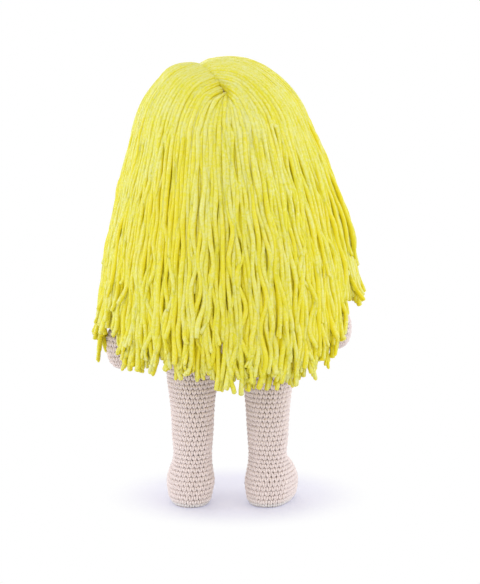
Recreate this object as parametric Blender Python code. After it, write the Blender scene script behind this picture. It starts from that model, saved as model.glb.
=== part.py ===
"""Crocheted doll with long yarn hair, standing, thread-jointed at the shoulders and the hips.

Metres, +Z up. The doll stands on Z = 0 and faces -Y, and its left side is +X.
"""

import math

import bmesh
import bpy
from mathutils import Matrix, Vector

for old in list(bpy.data.objects):
    bpy.data.objects.remove(old, do_unlink=True)

# Clearances
GAP = 0.0003
FILL_GAP = 0.0004
JOINT_GAP = 0.0007
HOLE_GAP = 0.0006
OVERRUN = 0.02

# Crocheted fabric
WALL = 0.0022

# Legs
HIP_HEIGHT = 0.097
HIP_BACK = 0.005
THIGH_RADIUS = 0.0164
ANKLE_RADIUS = 0.0121
CROTCH_WIDTH = 0.0132
FOOT_HALF_WIDTH = 0.0147
FOOT_FRONT = 0.0275
FOOT_BACK = 0.0147
FOOT_HEIGHT = 0.031
INSOLE = 0.001
LEFT_TOE_OUT = math.radians(15)
RIGHT_TOE_OUT = math.radians(33)

# Torso
TORSO_HEIGHT = 0.082
TORSO_HALF_WIDTH = 0.038
TORSO_HALF_DEPTH = 0.0234
CROTCH_DROP = 0.013
NECK_RADIUS = 0.0102
NECK_LENGTH = 0.0075
NECK_STITCH = 0.0008

# Arms
SHOULDER_RADIUS = 0.0095
WRIST_RADIUS = 0.0072
HAND_RADIUS = 0.0080
ARM_SPREAD = 0.0360
ARM_DROP = 0.069
RIGHT_ARM_SWING = math.radians(27)

# Head
HEAD_HALF_WIDTH = 0.0475
HEAD_HALF_DEPTH = 0.048
HEAD_HALF_HEIGHT = 0.050
HEAD_FORWARD = 0.003
HEAD_LEAN = math.radians(4.5)
NECK_OPENING = 0.007
DOWEL_RADIUS = 0.005
DOWEL_CLEAR = 0.001
DOWEL_IN_HEAD = 0.032

# Face
EYE_RADIUS = 0.0046
EYE_HEIGHT = 0.0028
EYE_POST = 0.0016
EYE_POST_LENGTH = 0.0075
EYE_WASHER = 0.0048
EYE_WASHER_THICKNESS = 0.0012
EYE_WASHER_SEAT = 0.0014
EYE_TURN = math.radians(21)
EYE_DROP = math.radians(7)
NOSE_RADIUS = 0.0026
NOSE_HEIGHT = 0.0018
NOSE_DROP = math.radians(15)
MOUTH_YARN = 0.0007
MOUTH_HALF_TURN = math.radians(7.5)
MOUTH_DROP = math.radians(26)
MOUTH_RISE = math.radians(2.6)

# Thread joints
THREAD_RADIUS = 0.0009
KNOT_RADIUS = 0.0020
SHOULDER_BUTTON = 0.0048
HIP_BUTTON = 0.0090
BUTTON_THICKNESS = 0.0020

# Hair
HAIR_DEPTH = 0.0084
HEM_THICKNESS = 0.0045
ARM_CLEARANCE = 0.0020
CURTAIN_BACK = 0.062
FLARE_DROP = 0.138
HAIR_DROP = 0.1405
LOCK_GAP = 0.0005
LOCK_SEAT = 0.0009
PARTING_CLEAR = 0.0030
CROWN_CLEAR = 0.0060
PARTING_HALF_WIDTH = 0.0020
PARTING_DEPTH = 0.0014
FRONT_OUT = 0.0085
FRONT_REACH = 0.030
FRONT_SPREAD = 0.012
FRONT_STEP = 0.006

# Counts
LIMB_SIDES = 16
ARM_SIDES = 12
HEAD_SIDES = 20
SMALL_SIDES = 12
SIDE_LOCKS = 12
FRONT_LOCKS = 2

# Angles of the hair, from straight behind
SIDE_EDGE = math.radians(96)
FRONT_EDGE = math.radians(128)
CROWN_FAN = math.radians(40)

# Heights and radii of the foot and leg: shares of the foot height, half width, back and front
FOOT_SHARES = (
    (0.00, 0.78, 0.80, 0.84),
    (0.08, 0.94, 0.95, 0.95),
    (0.26, 1.00, 1.00, 1.00),
    (0.46, 0.99, 0.98, 0.98),
    (0.66, 0.92, 0.92, 0.88),
    (0.84, 0.85, 0.85, 0.69),
)
# Shares of the way from the foot's top to the hip, and from ankle radius to thigh radius
LEG_SHARES = (
    (0.00, 0.00),
    (0.18, 0.14),
    (0.38, 0.30),
    (0.54, 0.48),
    (0.68, 0.74),
    (0.84, 0.93),
)
# Torso from its underside to the neck: shares of its height, half width and half depth
TORSO_SHARES = (
    (0.025, 0.36, 0.34),
    (0.075, 0.58, 0.53),
    (0.150, 0.78, 0.73),
    (0.245, 0.92, 0.88),
    (0.350, 0.99, 0.97),
    (0.460, 1.00, 1.00),
    (0.585, 0.93, 0.98),
    (0.705, 0.79, 0.90),
    (0.805, 0.645, 0.78),
    (0.890, 0.510, 0.67),
    (0.950, 0.405, 0.56),
    (0.985, 0.325, 0.48),
)
SHOULDER_SHARE = 0.866
# Arm's middle line and radius: shares of the spread, of the drop, and of the radius named
ARM_SHARES = (
    (0.17, 0.07, "shoulder", 0.98),
    (0.42, 0.16, "shoulder", 0.95),
    (0.70, 0.30, "shoulder", 0.90),
    (0.88, 0.47, "shoulder", 0.84),
    (0.95, 0.61, "wrist", 1.00),
    (1.00, 0.73, "hand", 0.99),
    (1.00, 0.84, "hand", 1.00),
    (0.99, 0.93, "hand", 0.80),
    (0.98, 0.98, "hand", 0.45),
)
# Parting from the crown to the forehead, in plan: shares of the head's half width and depth
PARTING_SHARES = (
    (-0.105, 0.70),
    (0.060, 0.46),
    (0.190, 0.18),
    (0.215, -0.12),
    (0.205, -0.40),
    (0.190, -0.62),
)
# Hem of the hair: share of the whole turn to the front edge, and share of the hair's drop
HEM_SHARES = (
    (-1.00, 0.66),
    (-0.54, 0.67),
    (-0.47, 0.74),
    (-0.43, 0.86),
    (-0.37, 0.92),
    (-0.20, 0.97),
    (0.00, 0.99),
    (0.10, 1.00),
    (0.20, 0.97),
    (0.38, 0.94),
    (0.43, 0.91),
    (0.48, 0.84),
    (0.58, 0.85),
    (0.67, 0.89),
    (1.00, 0.86),
)
FRONT_HEM_SHARE = 0.66
# Where the hair leaves the head, as a share of the head's half width and depth in plan
RIM_SHARE = 0.966
FRONT_RIM_SHARE = 1.0
BULGE_SHARE = 0.09
ROOT_DEPTH_SHARE = 0.6
ROOT_RISE_SHARE = 0.4
HEM_TAPER_SHARE = 0.25

# Places worked out from the sizes
hip_x = CROTCH_WIDTH / 2 + JOINT_GAP + THIGH_RADIUS
torso_bottom = HIP_HEIGHT - CROTCH_DROP
neck_base = torso_bottom + TORSO_HEIGHT
head_bottom = neck_base + NECK_LENGTH
shoulder_height = torso_bottom + SHOULDER_SHARE * TORSO_HEIGHT


def between(a, b, share):
    return a + (b - a) * share


def smooth(share):
    share = min(1, max(0, share))
    return share * share * (3 - 2 * share)


def table(rows, value):
    """Value at a place along rows of (place, value...), with straight runs between rows."""
    if value <= rows[0][0]:
        return rows[0][1:]
    for low, high in zip(rows, rows[1:]):
        if value <= high[0]:
            share = (value - low[0]) / (high[0] - low[0])
            return tuple(between(a, b, share) for a, b in zip(low[1:], high[1:]))
    return rows[-1][1:]


def shoulder_offset():
    """Distance of the shoulder from the middle, where its ball just clears the torso's side."""
    reach = SHOULDER_RADIUS + JOINT_GAP
    furthest = reach
    for step in range(101):
        share = step / 100
        width = table(TORSO_SHARES, share)[0] * TORSO_HALF_WIDTH
        rise = torso_bottom + share * TORSO_HEIGHT - shoulder_height
        if abs(rise) < reach:
            furthest = max(furthest, width + math.sqrt(reach * reach - rise * rise))
    return furthest


shoulder_x = shoulder_offset()
curtain_side = shoulder_x + ARM_SPREAD + HAND_RADIUS + ARM_CLEARANCE + HEM_THICKNESS
lean = Matrix.Rotation(HEAD_LEAN, 4, "Y")
head_seat = Matrix.Translation((0, 0, head_bottom)) @ lean
head_centre = Vector((0, -HEAD_FORWARD, HEAD_HALF_HEIGHT))
doll_back = CURTAIN_BACK
doll_front = HEAD_FORWARD + HEAD_HALF_DEPTH


# Materials
def material(name, colour, roughness, metallic=0.0):
    made = bpy.data.materials.new(name)
    made.use_nodes = True
    shader = made.node_tree.nodes["Principled BSDF"]
    shader.inputs["Base Color"].default_value = (*colour, 1)
    shader.inputs["Roughness"].default_value = roughness
    shader.inputs["Metallic"].default_value = metallic
    return made


skin_yarn = material("skin_yarn", (0.73, 0.58, 0.51), 0.9)
hair_yarn = material("hair_yarn", (0.86, 0.76, 0.10), 0.55)
stuffing = material("stuffing", (0.86, 0.86, 0.84), 0.95)
face_yarn = material("face_yarn", (0.60, 0.26, 0.24), 0.85)
dark_plastic = material("dark_plastic", (0.03, 0.02, 0.02), 0.12)
clear_plastic = material("clear_plastic", (0.80, 0.80, 0.78), 0.40)
wood = material("wood", (0.62, 0.44, 0.26), 0.65)
strong_thread = material("strong_thread", (0.70, 0.64, 0.58), 0.80)
card = material("card", (0.60, 0.52, 0.42), 0.90)


# Building blocks
def add_mesh(name, mesh_data, parent, paint):
    mesh = bpy.data.meshes.new(name)
    bmesh.ops.recalc_face_normals(mesh_data, faces=mesh_data.faces)
    mesh_data.to_mesh(mesh)
    mesh_data.free()
    mesh.shade_smooth()
    mesh.set_sharp_from_angle(angle=math.radians(40))
    obj = bpy.data.objects.new(name, mesh)
    bpy.context.scene.collection.objects.link(obj)
    obj.parent = parent
    if paint:
        mesh.materials.append(paint)
    else:
        obj.hide_render = True
        obj.display_type = "WIRE"
    return obj


def add_empty(name, parent, location=(0, 0, 0), rotation=(0, 0, 0)):
    empty = bpy.data.objects.new(name, None)
    bpy.context.scene.collection.objects.link(empty)
    empty.parent = parent
    empty.location = location
    empty.rotation_euler = rotation
    return empty


def loft(name, rings, parent, paint):
    """Closed body through rings of points; a ring of one point is a pole."""
    data = bmesh.new()
    rows = [[data.verts.new(point) for point in ring] for ring in rings]
    for lower, upper in zip(rows, rows[1:]):
        count = max(len(lower), len(upper))
        for i in range(count):
            j = (i + 1) % count
            if len(lower) == 1:
                data.faces.new((lower[0], upper[j], upper[i]))
            elif len(upper) == 1:
                data.faces.new((lower[i], lower[j], upper[0]))
            else:
                data.faces.new((lower[i], lower[j], upper[j]))
                data.faces.new((lower[i], upper[j], upper[i]))
    for end in (rows[0], rows[-1]):
        if len(end) > 1:
            data.faces.new(end)
    return add_mesh(name, data, parent, paint)


def lathe(name, outline, parent, paint, closed=False, sides=SMALL_SIDES):
    """Body turned about local Z from an outline of (radius, height) points."""
    data = bmesh.new()
    points = [data.verts.new((radius, 0, height)) for radius, height in outline]
    edges = [data.edges.new(pair) for pair in zip(points, points[1:])]
    if closed:
        edges.append(data.edges.new((points[-1], points[0])))
    bmesh.ops.spin(
        data,
        geom=points + edges,
        axis=(0, 0, 1),
        cent=(0, 0, 0),
        steps=sides,
        angle=math.tau,
    )
    bmesh.ops.remove_doubles(data, verts=data.verts, dist=GAP / 10)
    return add_mesh(name, data, parent, paint)


def carve(target, cutter):
    cut = target.modifiers.new(cutter.name, "BOOLEAN")
    cut.operation = "DIFFERENCE"
    cut.solver = "EXACT"
    cut.object = cutter


def rod(name, radius, low, high, parent, paint=None):
    outline = ((0, low), (radius, low), (radius, high), (0, high))
    return lathe(name, outline, parent, paint)


def oval(half_width, back, front, height, sides):
    """Ring around the Z axis: its back half reaches back along +Y, its front half along -Y."""
    ring = []
    for i in range(sides):
        turn = math.tau * i / sides
        reach = back if math.cos(turn) > 0 else front
        ring.append((half_width * math.sin(turn), reach * math.cos(turn), height))
    return ring


doll = add_empty("doll", None, (0, (doll_front - doll_back) / 2, 0))
head_empty = add_empty("head_empty", doll, (0, 0, head_bottom), (0, HEAD_LEAN, 0))
hip_empties = {
    side: add_empty(f"{side}_hip", doll, (sign * hip_x, HIP_BACK, HIP_HEIGHT))
    for side, sign in (("left", 1), ("right", -1))
}
shoulder_empties = {
    side: add_empty(
        f"{side}_shoulder", doll, (sign * shoulder_x, 0, shoulder_height), (-swing, 0, 0)
    )
    for side, sign, swing in (("left", 1, 0), ("right", -1, RIGHT_ARM_SWING))
}


# Legs, built around the hip, with a foot turned out from the ankle down
def leg_rings(inset, lift, toe_out):
    """Rings of the leg set in by a depth, with its sole lifted off the ground as well."""
    rings = []
    for height, width, back, front in FOOT_SHARES:
        level = max(inset + lift, between(inset, FOOT_HEIGHT, height)) - HIP_HEIGHT
        rings.append(
            oval(
                width * FOOT_HALF_WIDTH - inset,
                back * FOOT_BACK - inset,
                front * FOOT_FRONT - inset,
                level,
                LIMB_SIDES,
            )
        )
    for height, width in LEG_SHARES:
        radius = between(ANKLE_RADIUS, THIGH_RADIUS, width) - inset
        level = between(FOOT_HEIGHT, HIP_HEIGHT, height) - HIP_HEIGHT
        rings.append(oval(radius, radius, radius, level, LIMB_SIDES))
    radius = THIGH_RADIUS - inset
    for degrees in (0, 22, 44, 66):
        turn = math.radians(degrees)
        around = radius * math.cos(turn)
        rings.append(oval(around, around, around, radius * math.sin(turn), LIMB_SIDES))
    rings.append([(0, 0, radius)])
    turn = Matrix.Rotation(toe_out, 3, "Z")
    return [[turn @ Vector(point) for point in ring] for ring in rings]


def button_place(ball, button):
    """Distance from the ball's centre at which a button's rim meets the inside of its wall."""
    inside = ball - WALL - GAP
    return math.sqrt(inside * inside - button * button)


def joint_button(name, ball, button, sign, parent):
    """Button with its hole on the joint's axis, and the pocket that it takes in the filling."""
    seat = button_place(ball, button)
    edge = BUTTON_THICKNESS / 4
    outline = (
        (THREAD_RADIUS + HOLE_GAP, -seat),
        (button - edge, -seat),
        (button, -seat + edge),
        (button, -seat + BUTTON_THICKNESS - edge),
        (button - edge, -seat + BUTTON_THICKNESS),
        (THREAD_RADIUS + HOLE_GAP, -seat + BUTTON_THICKNESS),
    )
    made = lathe(name, outline, parent, clear_plastic, closed=True)
    made.rotation_euler = (0, sign * math.pi / 2, 0)
    room = -seat + BUTTON_THICKNESS + FILL_GAP
    knot_room = room + 2 * KNOT_RADIUS + HOLE_GAP
    pocket = (
        (0, -ball),
        (button + FILL_GAP, -ball),
        (button + FILL_GAP, room),
        (KNOT_RADIUS + FILL_GAP, room),
        (KNOT_RADIUS + FILL_GAP, knot_room),
        (0, knot_room),
    )
    pocket_cutter = lathe(f"{name}_pocket", pocket, parent, None)
    pocket_cutter.rotation_euler = (0, sign * math.pi / 2, 0)
    return pocket_cutter


def joint_thread(name, half_span, back, height, ball, button):
    """Taut thread through the torso, with a knot outside the button at each end."""
    stop = half_span - button_place(ball, button) + BUTTON_THICKNESS + GAP
    outline = [(0, -stop - 2 * KNOT_RADIUS)]
    for degrees in (-45, 0, 45):
        turn = math.radians(degrees)
        outline.append(
            (KNOT_RADIUS * math.cos(turn), -stop - KNOT_RADIUS + KNOT_RADIUS * math.sin(turn))
        )
    outline.append((THREAD_RADIUS, -stop))
    outline += [(radius, -along) for radius, along in reversed(outline)]
    thread = lathe(name, outline, doll, strong_thread)
    thread.location = (0, back, height)
    thread.rotation_euler = (0, math.pi / 2, 0)
    hole_half = stop + 2 * KNOT_RADIUS
    hole = rod(f"{name}_hole", THREAD_RADIUS + HOLE_GAP, -hole_half, hole_half, doll)
    hole.location = (0, back, height)
    hole.rotation_euler = (0, math.pi / 2, 0)
    return hole


hip_hole = joint_thread("hip_thread", hip_x, HIP_BACK, HIP_HEIGHT, THIGH_RADIUS, HIP_BUTTON)
shoulder_hole = joint_thread(
    "shoulder_thread", shoulder_x, 0, shoulder_height, SHOULDER_RADIUS, SHOULDER_BUTTON
)


def limb_hole(name, ball, sign, parent):
    """Hole for the thread through the inner side of a limb's ball."""
    hole = rod(name, THREAD_RADIUS + HOLE_GAP, -ball - WALL, 0, parent)
    hole.rotation_euler = (0, sign * math.pi / 2, 0)
    return hole


def make_leg(side, sign, toe_out):
    pivot = hip_empties[side]
    shell = loft(f"{side}_leg_shell", leg_rings(0, 0, toe_out), pivot, skin_yarn)
    cavity = loft(f"{side}_leg_cavity", leg_rings(WALL, 0, toe_out), pivot, None)
    carve(shell, cavity)
    carve(shell, limb_hole(f"{side}_leg_hole", THIGH_RADIUS, sign, pivot))
    lift = INSOLE + 2 * GAP
    filling_rings = leg_rings(WALL + FILL_GAP, lift, toe_out)
    filling = loft(f"{side}_leg_filling", filling_rings, pivot, stuffing)
    carve(filling, joint_button(f"{side}_hip_button", THIGH_RADIUS, HIP_BUTTON, sign, pivot))

    # The insole fits the sole's outline inside the crocheted wall
    height, width, back, front = FOOT_SHARES[0]
    inset = WALL + FILL_GAP
    outline = oval(
        width * FOOT_HALF_WIDTH - inset,
        back * FOOT_BACK - inset,
        front * FOOT_FRONT - inset,
        0,
        LIMB_SIDES,
    )
    floor = WALL + GAP - HIP_HEIGHT
    rings = [[(x, y, floor + rise) for x, y, z in outline] for rise in (0, INSOLE)]
    insole = loft(f"{side}_insole", rings, pivot, card)
    insole.rotation_euler = (0, 0, toe_out)


make_leg("left", 1, LEFT_TOE_OUT)
make_leg("right", -1, -RIGHT_TOE_OUT)


# Arms, built around the shoulder: a ball, a tube bent outwards, and a mitten hand
def arm_rings(inset, sign):
    radii = {"shoulder": SHOULDER_RADIUS, "wrist": WRIST_RADIUS, "hand": HAND_RADIUS}
    spine = [(Vector((0, 0, 0)), SHOULDER_RADIUS - inset)]
    for out, down, kind, share in ARM_SHARES:
        centre = Vector((sign * out * ARM_SPREAD, 0, -down * ARM_DROP))
        if kind == "hand" and share == 1:
            palm = centre
        spine.append((centre, share * radii[kind] - inset))
    tip = Vector((sign * ARM_SHARES[-1][0] * ARM_SPREAD, 0, -ARM_DROP))
    centres = [centre for centre, radius in spine] + [tip]
    past_palm = centres.index(palm) + 1
    kept = 1 - inset / HAND_RADIUS
    for i in range(past_palm, len(spine)):
        share = ARM_SHARES[i - 1][3]
        spine[i] = (palm + (centres[i] - palm) * kept, share * HAND_RADIUS * kept)
    tip = palm + (tip - palm) * kept
    centres = [centre for centre, radius in spine] + [tip]

    def ring(centre, along, radius):
        across = Vector((0, 1, 0))
        other = along.cross(across)
        points = []
        for i in range(ARM_SIDES):
            turn = math.tau * i / ARM_SIDES
            points.append(centre + radius * (across * math.cos(turn) + other * math.sin(turn)))
        return points

    first = (centres[1] - centres[0]).normalized()
    ball = SHOULDER_RADIUS - inset
    rings = [[-ball * first]]
    for degrees in (64, 42, 20):
        turn = math.radians(degrees)
        rings.append(ring(-ball * math.sin(turn) * first, first, ball * math.cos(turn)))
    for i, (centre, radius) in enumerate(spine):
        along = first if i == 0 else (centres[i + 1] - centres[i - 1]).normalized()
        rings.append(ring(centre, along, radius))
    rings.append([tip])
    return rings


def make_arm(side, sign):
    pivot = shoulder_empties[side]
    shell = loft(f"{side}_arm_shell", arm_rings(0, sign), pivot, skin_yarn)
    cavity = loft(f"{side}_arm_cavity", arm_rings(WALL, sign), pivot, None)
    carve(shell, cavity)
    carve(shell, limb_hole(f"{side}_arm_hole", SHOULDER_RADIUS, sign, pivot))
    filling = loft(f"{side}_arm_filling", arm_rings(WALL + FILL_GAP, sign), pivot, stuffing)
    button_name = f"{side}_shoulder_button"
    carve(filling, joint_button(button_name, SHOULDER_RADIUS, SHOULDER_BUTTON, sign, pivot))


make_arm("left", 1)
make_arm("right", -1)


# Torso: an egg over the thighs, narrowing to the neck, which the head's underside cuts
def torso_rings(inset, neck_rise):
    rings = [[(0, 0, torso_bottom + inset)]]
    for height, width, depth in TORSO_SHARES:
        half_width = width * TORSO_HALF_WIDTH - inset
        half_depth = depth * TORSO_HALF_DEPTH - inset
        rise = between(inset, TORSO_HEIGHT, height)
        rings.append(oval(half_width, half_depth, half_depth, torso_bottom + rise, HEAD_SIDES))
    neck = NECK_RADIUS - inset
    for height in (neck_base + NECK_LENGTH / 4, head_bottom + neck_rise):
        rings.append(oval(neck, neck, neck, height, HEAD_SIDES))
    return rings


def thigh_cutters(name, inset, target):
    """Room for each thigh: its ball and leg straight down, and all of its swing to the front."""
    facets = math.cos(math.pi / LIMB_SIDES)
    radius = (THIGH_RADIUS + JOINT_GAP) / facets + inset
    low = torso_bottom - OVERRUN
    for side, sign in (("left", 1), ("right", -1)):
        middle = sign * hip_x
        arch = []
        for i in range(LIMB_SIDES // 2 + 1):
            turn = math.tau * i / LIMB_SIDES
            arch.append((middle + radius * math.cos(turn), HIP_HEIGHT + radius * math.sin(turn)))
        arch += [(middle - radius, low), (middle + radius, low)]
        ahead = -TORSO_HALF_DEPTH - OVERRUN
        rings = [[(x, y, z) for x, z in arch] for y in (HIP_BACK + GAP, ahead)]
        swing = loft(f"{name}_{side}_swing", rings, doll, None)
        rings = [oval(radius, radius, radius, low, LIMB_SIDES)]
        for degrees in (0, 22.5, 45, 67.5):
            turn = math.radians(degrees)
            around = radius * math.cos(turn)
            height = HIP_HEIGHT + radius * math.sin(turn)
            rings.append(oval(around, around, around, height, LIMB_SIDES))
        rings.append([(0, 0, HIP_HEIGHT + radius)])
        rest = loft(f"{name}_{side}_rest", rings, doll, None)
        rest.location = (middle, HIP_BACK, 0)
        carve(target, swing)
        carve(target, rest)


def head_rings(inset):
    """Rings of the head from its crown down, in the head's own frame."""
    rings = [[(0, 0, HEAD_HALF_HEIGHT - inset)]]
    steps = HEAD_SIDES // 2
    for i in range(1, steps):
        turn = math.pi * i / steps
        rings.append(
            oval(
                (HEAD_HALF_WIDTH - inset) * math.sin(turn),
                (HEAD_HALF_DEPTH - inset) * math.sin(turn),
                (HEAD_HALF_DEPTH - inset) * math.sin(turn),
                (HEAD_HALF_HEIGHT - inset) * math.cos(turn),
                HEAD_SIDES,
            )
        )
    rings.append([(0, 0, inset - HEAD_HALF_HEIGHT)])
    return rings


neck_rise = NECK_RADIUS
torso_shell = loft("torso_shell", torso_rings(0, neck_rise), doll, skin_yarn)
thigh_cutters("torso_room", 0, torso_shell)
torso_cavity = loft("torso_cavity", torso_rings(WALL, neck_rise + OVERRUN), doll, None)
thigh_cutters("cavity_room", WALL, torso_cavity)
carve(torso_shell, torso_cavity)
torso_filling = loft("torso_filling", torso_rings(WALL + FILL_GAP, neck_rise), doll, stuffing)
thigh_cutters("filling_room", WALL + FILL_GAP, torso_filling)

head_room = loft("head_room", head_rings(-GAP), head_empty, None)
head_room.location = head_centre
dowel_low = shoulder_height + THREAD_RADIUS + HOLE_GAP + DOWEL_CLEAR
dowel_high = head_bottom + DOWEL_IN_HEAD
dowel = rod("neck_dowel", DOWEL_RADIUS, dowel_low, dowel_high, doll, wood)
dowel_room = rod(
    "dowel_room", DOWEL_RADIUS + FILL_GAP, dowel_low - GAP, dowel_high + GAP, doll
)
for piece in (torso_shell, torso_filling):
    carve(piece, head_room)
    carve(piece, hip_hole)
    carve(piece, shoulder_hole)
carve(torso_filling, dowel_room)

# Stitches that sew the head to the neck, in the crease between them
stitch_ring = []
for corner in range(6):
    turn = math.tau * corner / 6
    around = NECK_RADIUS + GAP + NECK_STITCH
    stitch_ring.append(
        (around + NECK_STITCH * math.cos(turn), NECK_STITCH * math.sin(turn))
    )
neck_seam = lathe("neck_seam", stitch_ring, doll, strong_thread, closed=True, sides=HEAD_SIDES)
neck_seam.location = (0, 0, head_bottom - GAP - NECK_STITCH)

# Head
head_shell = loft("head_shell", head_rings(0), head_empty, skin_yarn)
head_cavity = loft("head_cavity", head_rings(WALL), head_empty, None)
head_filling = loft("head_filling", head_rings(WALL + FILL_GAP), head_empty, stuffing)
for piece in (head_shell, head_cavity, head_filling):
    piece.location = head_centre
neck_opening = rod("neck_opening", NECK_OPENING, -OVERRUN, 2 * WALL, doll)
neck_opening.location = (0, 0, head_bottom)
carve(head_shell, head_cavity)
carve(head_shell, neck_opening)
carve(head_filling, dowel_room)


# Face
def face_matrix(turn, drop):
    """Frame on the head's surface, seen from the front: local Z points out of the head."""
    out = Vector((math.sin(turn) * math.cos(drop), -math.cos(turn) * math.cos(drop), -math.sin(drop)))
    radii = Vector((HEAD_HALF_WIDTH, HEAD_HALF_DEPTH, HEAD_HALF_HEIGHT))
    point = Vector(a * b for a, b in zip(out, radii))
    normal = Vector(a / b for a, b in zip(out, radii)).normalized()
    spin = normal.to_track_quat("Z", "Y").to_matrix().to_4x4()
    return Matrix.Translation(head_centre + point) @ spin


def make_eye(side, turn):
    place = face_matrix(turn, EYE_DROP)
    outline = [(0, -EYE_POST_LENGTH), (EYE_POST, -EYE_POST_LENGTH), (EYE_POST, GAP), (EYE_RADIUS, GAP)]
    for degrees in (25, 50, 72):
        bend = math.radians(degrees)
        outline.append((EYE_RADIUS * math.cos(bend), GAP + EYE_HEIGHT * math.sin(bend)))
    outline.append((0, GAP + EYE_HEIGHT))
    eye = lathe(f"{side}_eye", outline, head_empty, dark_plastic)
    eye.matrix_local = place
    hole = rod(f"{side}_eye_hole", EYE_POST + GAP, -WALL - OVERRUN / 2, OVERRUN / 2, head_empty)
    hole.matrix_local = place
    carve(head_shell, hole)
    top = -WALL - EYE_WASHER_SEAT
    low = top - EYE_WASHER_THICKNESS
    ring = ((EYE_POST + GAP, low), (EYE_WASHER, low), (EYE_WASHER, top), (EYE_POST + GAP, top))
    washer = lathe(f"{side}_eye_washer", ring, head_empty, clear_plastic, closed=True)
    washer.matrix_local = place
    bottom = -EYE_POST_LENGTH - GAP
    pocket = rod(f"{side}_eye_pocket", EYE_WASHER + FILL_GAP, bottom, 0, head_empty)
    pocket.matrix_local = place
    carve(head_filling, pocket)


make_eye("left", EYE_TURN)
make_eye("right", -EYE_TURN)

nose_outline = [(0, GAP), (NOSE_RADIUS, GAP)]
for degrees in (35, 65):
    bend = math.radians(degrees)
    nose_outline.append((NOSE_RADIUS * math.cos(bend), GAP + NOSE_HEIGHT * math.sin(bend)))
nose_outline.append((0, GAP + NOSE_HEIGHT))
nose = lathe("nose", nose_outline, head_empty, skin_yarn)
nose.matrix_local = face_matrix(0, NOSE_DROP)

mouth_rings = []
mouth_steps = 8
for i in range(mouth_steps + 1):
    across = 2 * i / mouth_steps - 1
    place = face_matrix(across * MOUTH_HALF_TURN, MOUTH_DROP - MOUTH_RISE * across * across)
    side_way = place.to_3x3() @ Vector((0, 0, 1))
    up_way = Vector((1, 0, 0)).cross(side_way).normalized()
    centre = place.translation + side_way * (MOUTH_YARN + GAP)
    ring = []
    for corner in range(6):
        turn = math.tau * corner / 6
        ring.append(centre + MOUTH_YARN * (side_way * math.cos(turn) + up_way * math.sin(turn)))
    mouth_rings.append(ring)
loft("mouth", mouth_rings, head_empty, face_yarn)


# Hair: locks side by side, from the parting over the head, then down to a ragged hem
def parting_point(share):
    """Point of the parting in plan, in shares of the head, from crown 0 to forehead 1."""
    rows = [(i / (len(PARTING_SHARES) - 1), *row) for i, row in enumerate(PARTING_SHARES)]
    return Vector(table(rows, share))


def root_of(phi):
    """Share of the parting at which the hair of this direction starts."""
    return max(0, (abs(phi) - CROWN_FAN) / (FRONT_EDGE - CROWN_FAN))


def on_head(plan, lift):
    """World point over the head at a place in plan, lifted off its surface."""
    up = math.sqrt(max(0, 1 - plan.x * plan.x - plan.y * plan.y))
    local = Vector(
        (
            plan.x * (HEAD_HALF_WIDTH + lift),
            plan.y * (HEAD_HALF_DEPTH + lift),
            up * (HEAD_HALF_HEIGHT + lift),
        )
    )
    return head_seat @ (head_centre + local)


def cap_point(phi, share, lift, front):
    """Point of the hair between its root (share 0) and where it leaves the head (share 1)."""
    root = parting_point(root_of(phi))
    run = Vector((math.sin(phi), math.cos(phi))) - root
    clear = between(CROWN_CLEAR, PARTING_CLEAR, smooth(2 * root_of(phi)))
    start = clear / (HEAD_HALF_WIDTH * run.length)
    rim = FRONT_RIM_SHARE if front else RIM_SHARE
    lead = root.dot(run)
    rest = run.dot(run) * (rim * rim - root.dot(root))
    end = (math.sqrt(lead * lead + rest) - lead) / run.dot(run)
    return on_head(root + run * between(start, end, math.sin(share * math.pi / 2)), lift)


def hem_height(phi, front):
    share = FRONT_HEM_SHARE if front else table(HEM_SHARES, phi / FRONT_EDGE)[0]
    return (head_seat @ head_centre).z - HAIR_DROP * share


def curtain_plan(phi, inward, front):
    """Where hair of this direction hangs when it has spread out fully."""
    if not front:
        return Vector(
            ((curtain_side - inward) * math.sin(phi), (CURTAIN_BACK - inward) * math.cos(phi))
        )
    share = (abs(phi) - SIDE_EDGE) / (FRONT_EDGE - SIDE_EDGE)
    out = shoulder_x + FRONT_OUT - FRONT_SPREAD * share - inward / 2
    ahead = -FRONT_REACH - FRONT_STEP * share + inward
    return Vector((math.copysign(out, phi), ahead))


def lock_point(phi, share, depth, front):
    """Point of a lock: share 0 to 1 over the head, 1 to 2 below it; depth 0 inside, 1 outside."""
    head_top = between(ROOT_DEPTH_SHARE, 1, smooth(share / ROOT_RISE_SHARE))
    if share <= 1:
        return cap_point(phi, share, LOCK_SEAT + depth * head_top * HAIR_DEPTH, front)
    rim = cap_point(phi, 1, LOCK_SEAT + depth * HAIR_DEPTH, front)
    height = between(rim.z, hem_height(phi, front), share - 1)
    fall = (rim.z - height) / FLARE_DROP
    spread = math.sin(min(1, fall) * math.pi / 2)
    plan = curtain_plan(phi, (1 - depth) * HEM_THICKNESS, front)
    return Vector((between(rim.x, plan.x, spread), between(rim.y, plan.y, spread), height))


cap_steps = 7
fall_steps = 8
lock_steps = [i / cap_steps for i in range(cap_steps)]
lock_steps += [1 + i / fall_steps for i in range(fall_steps + 1)]


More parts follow.
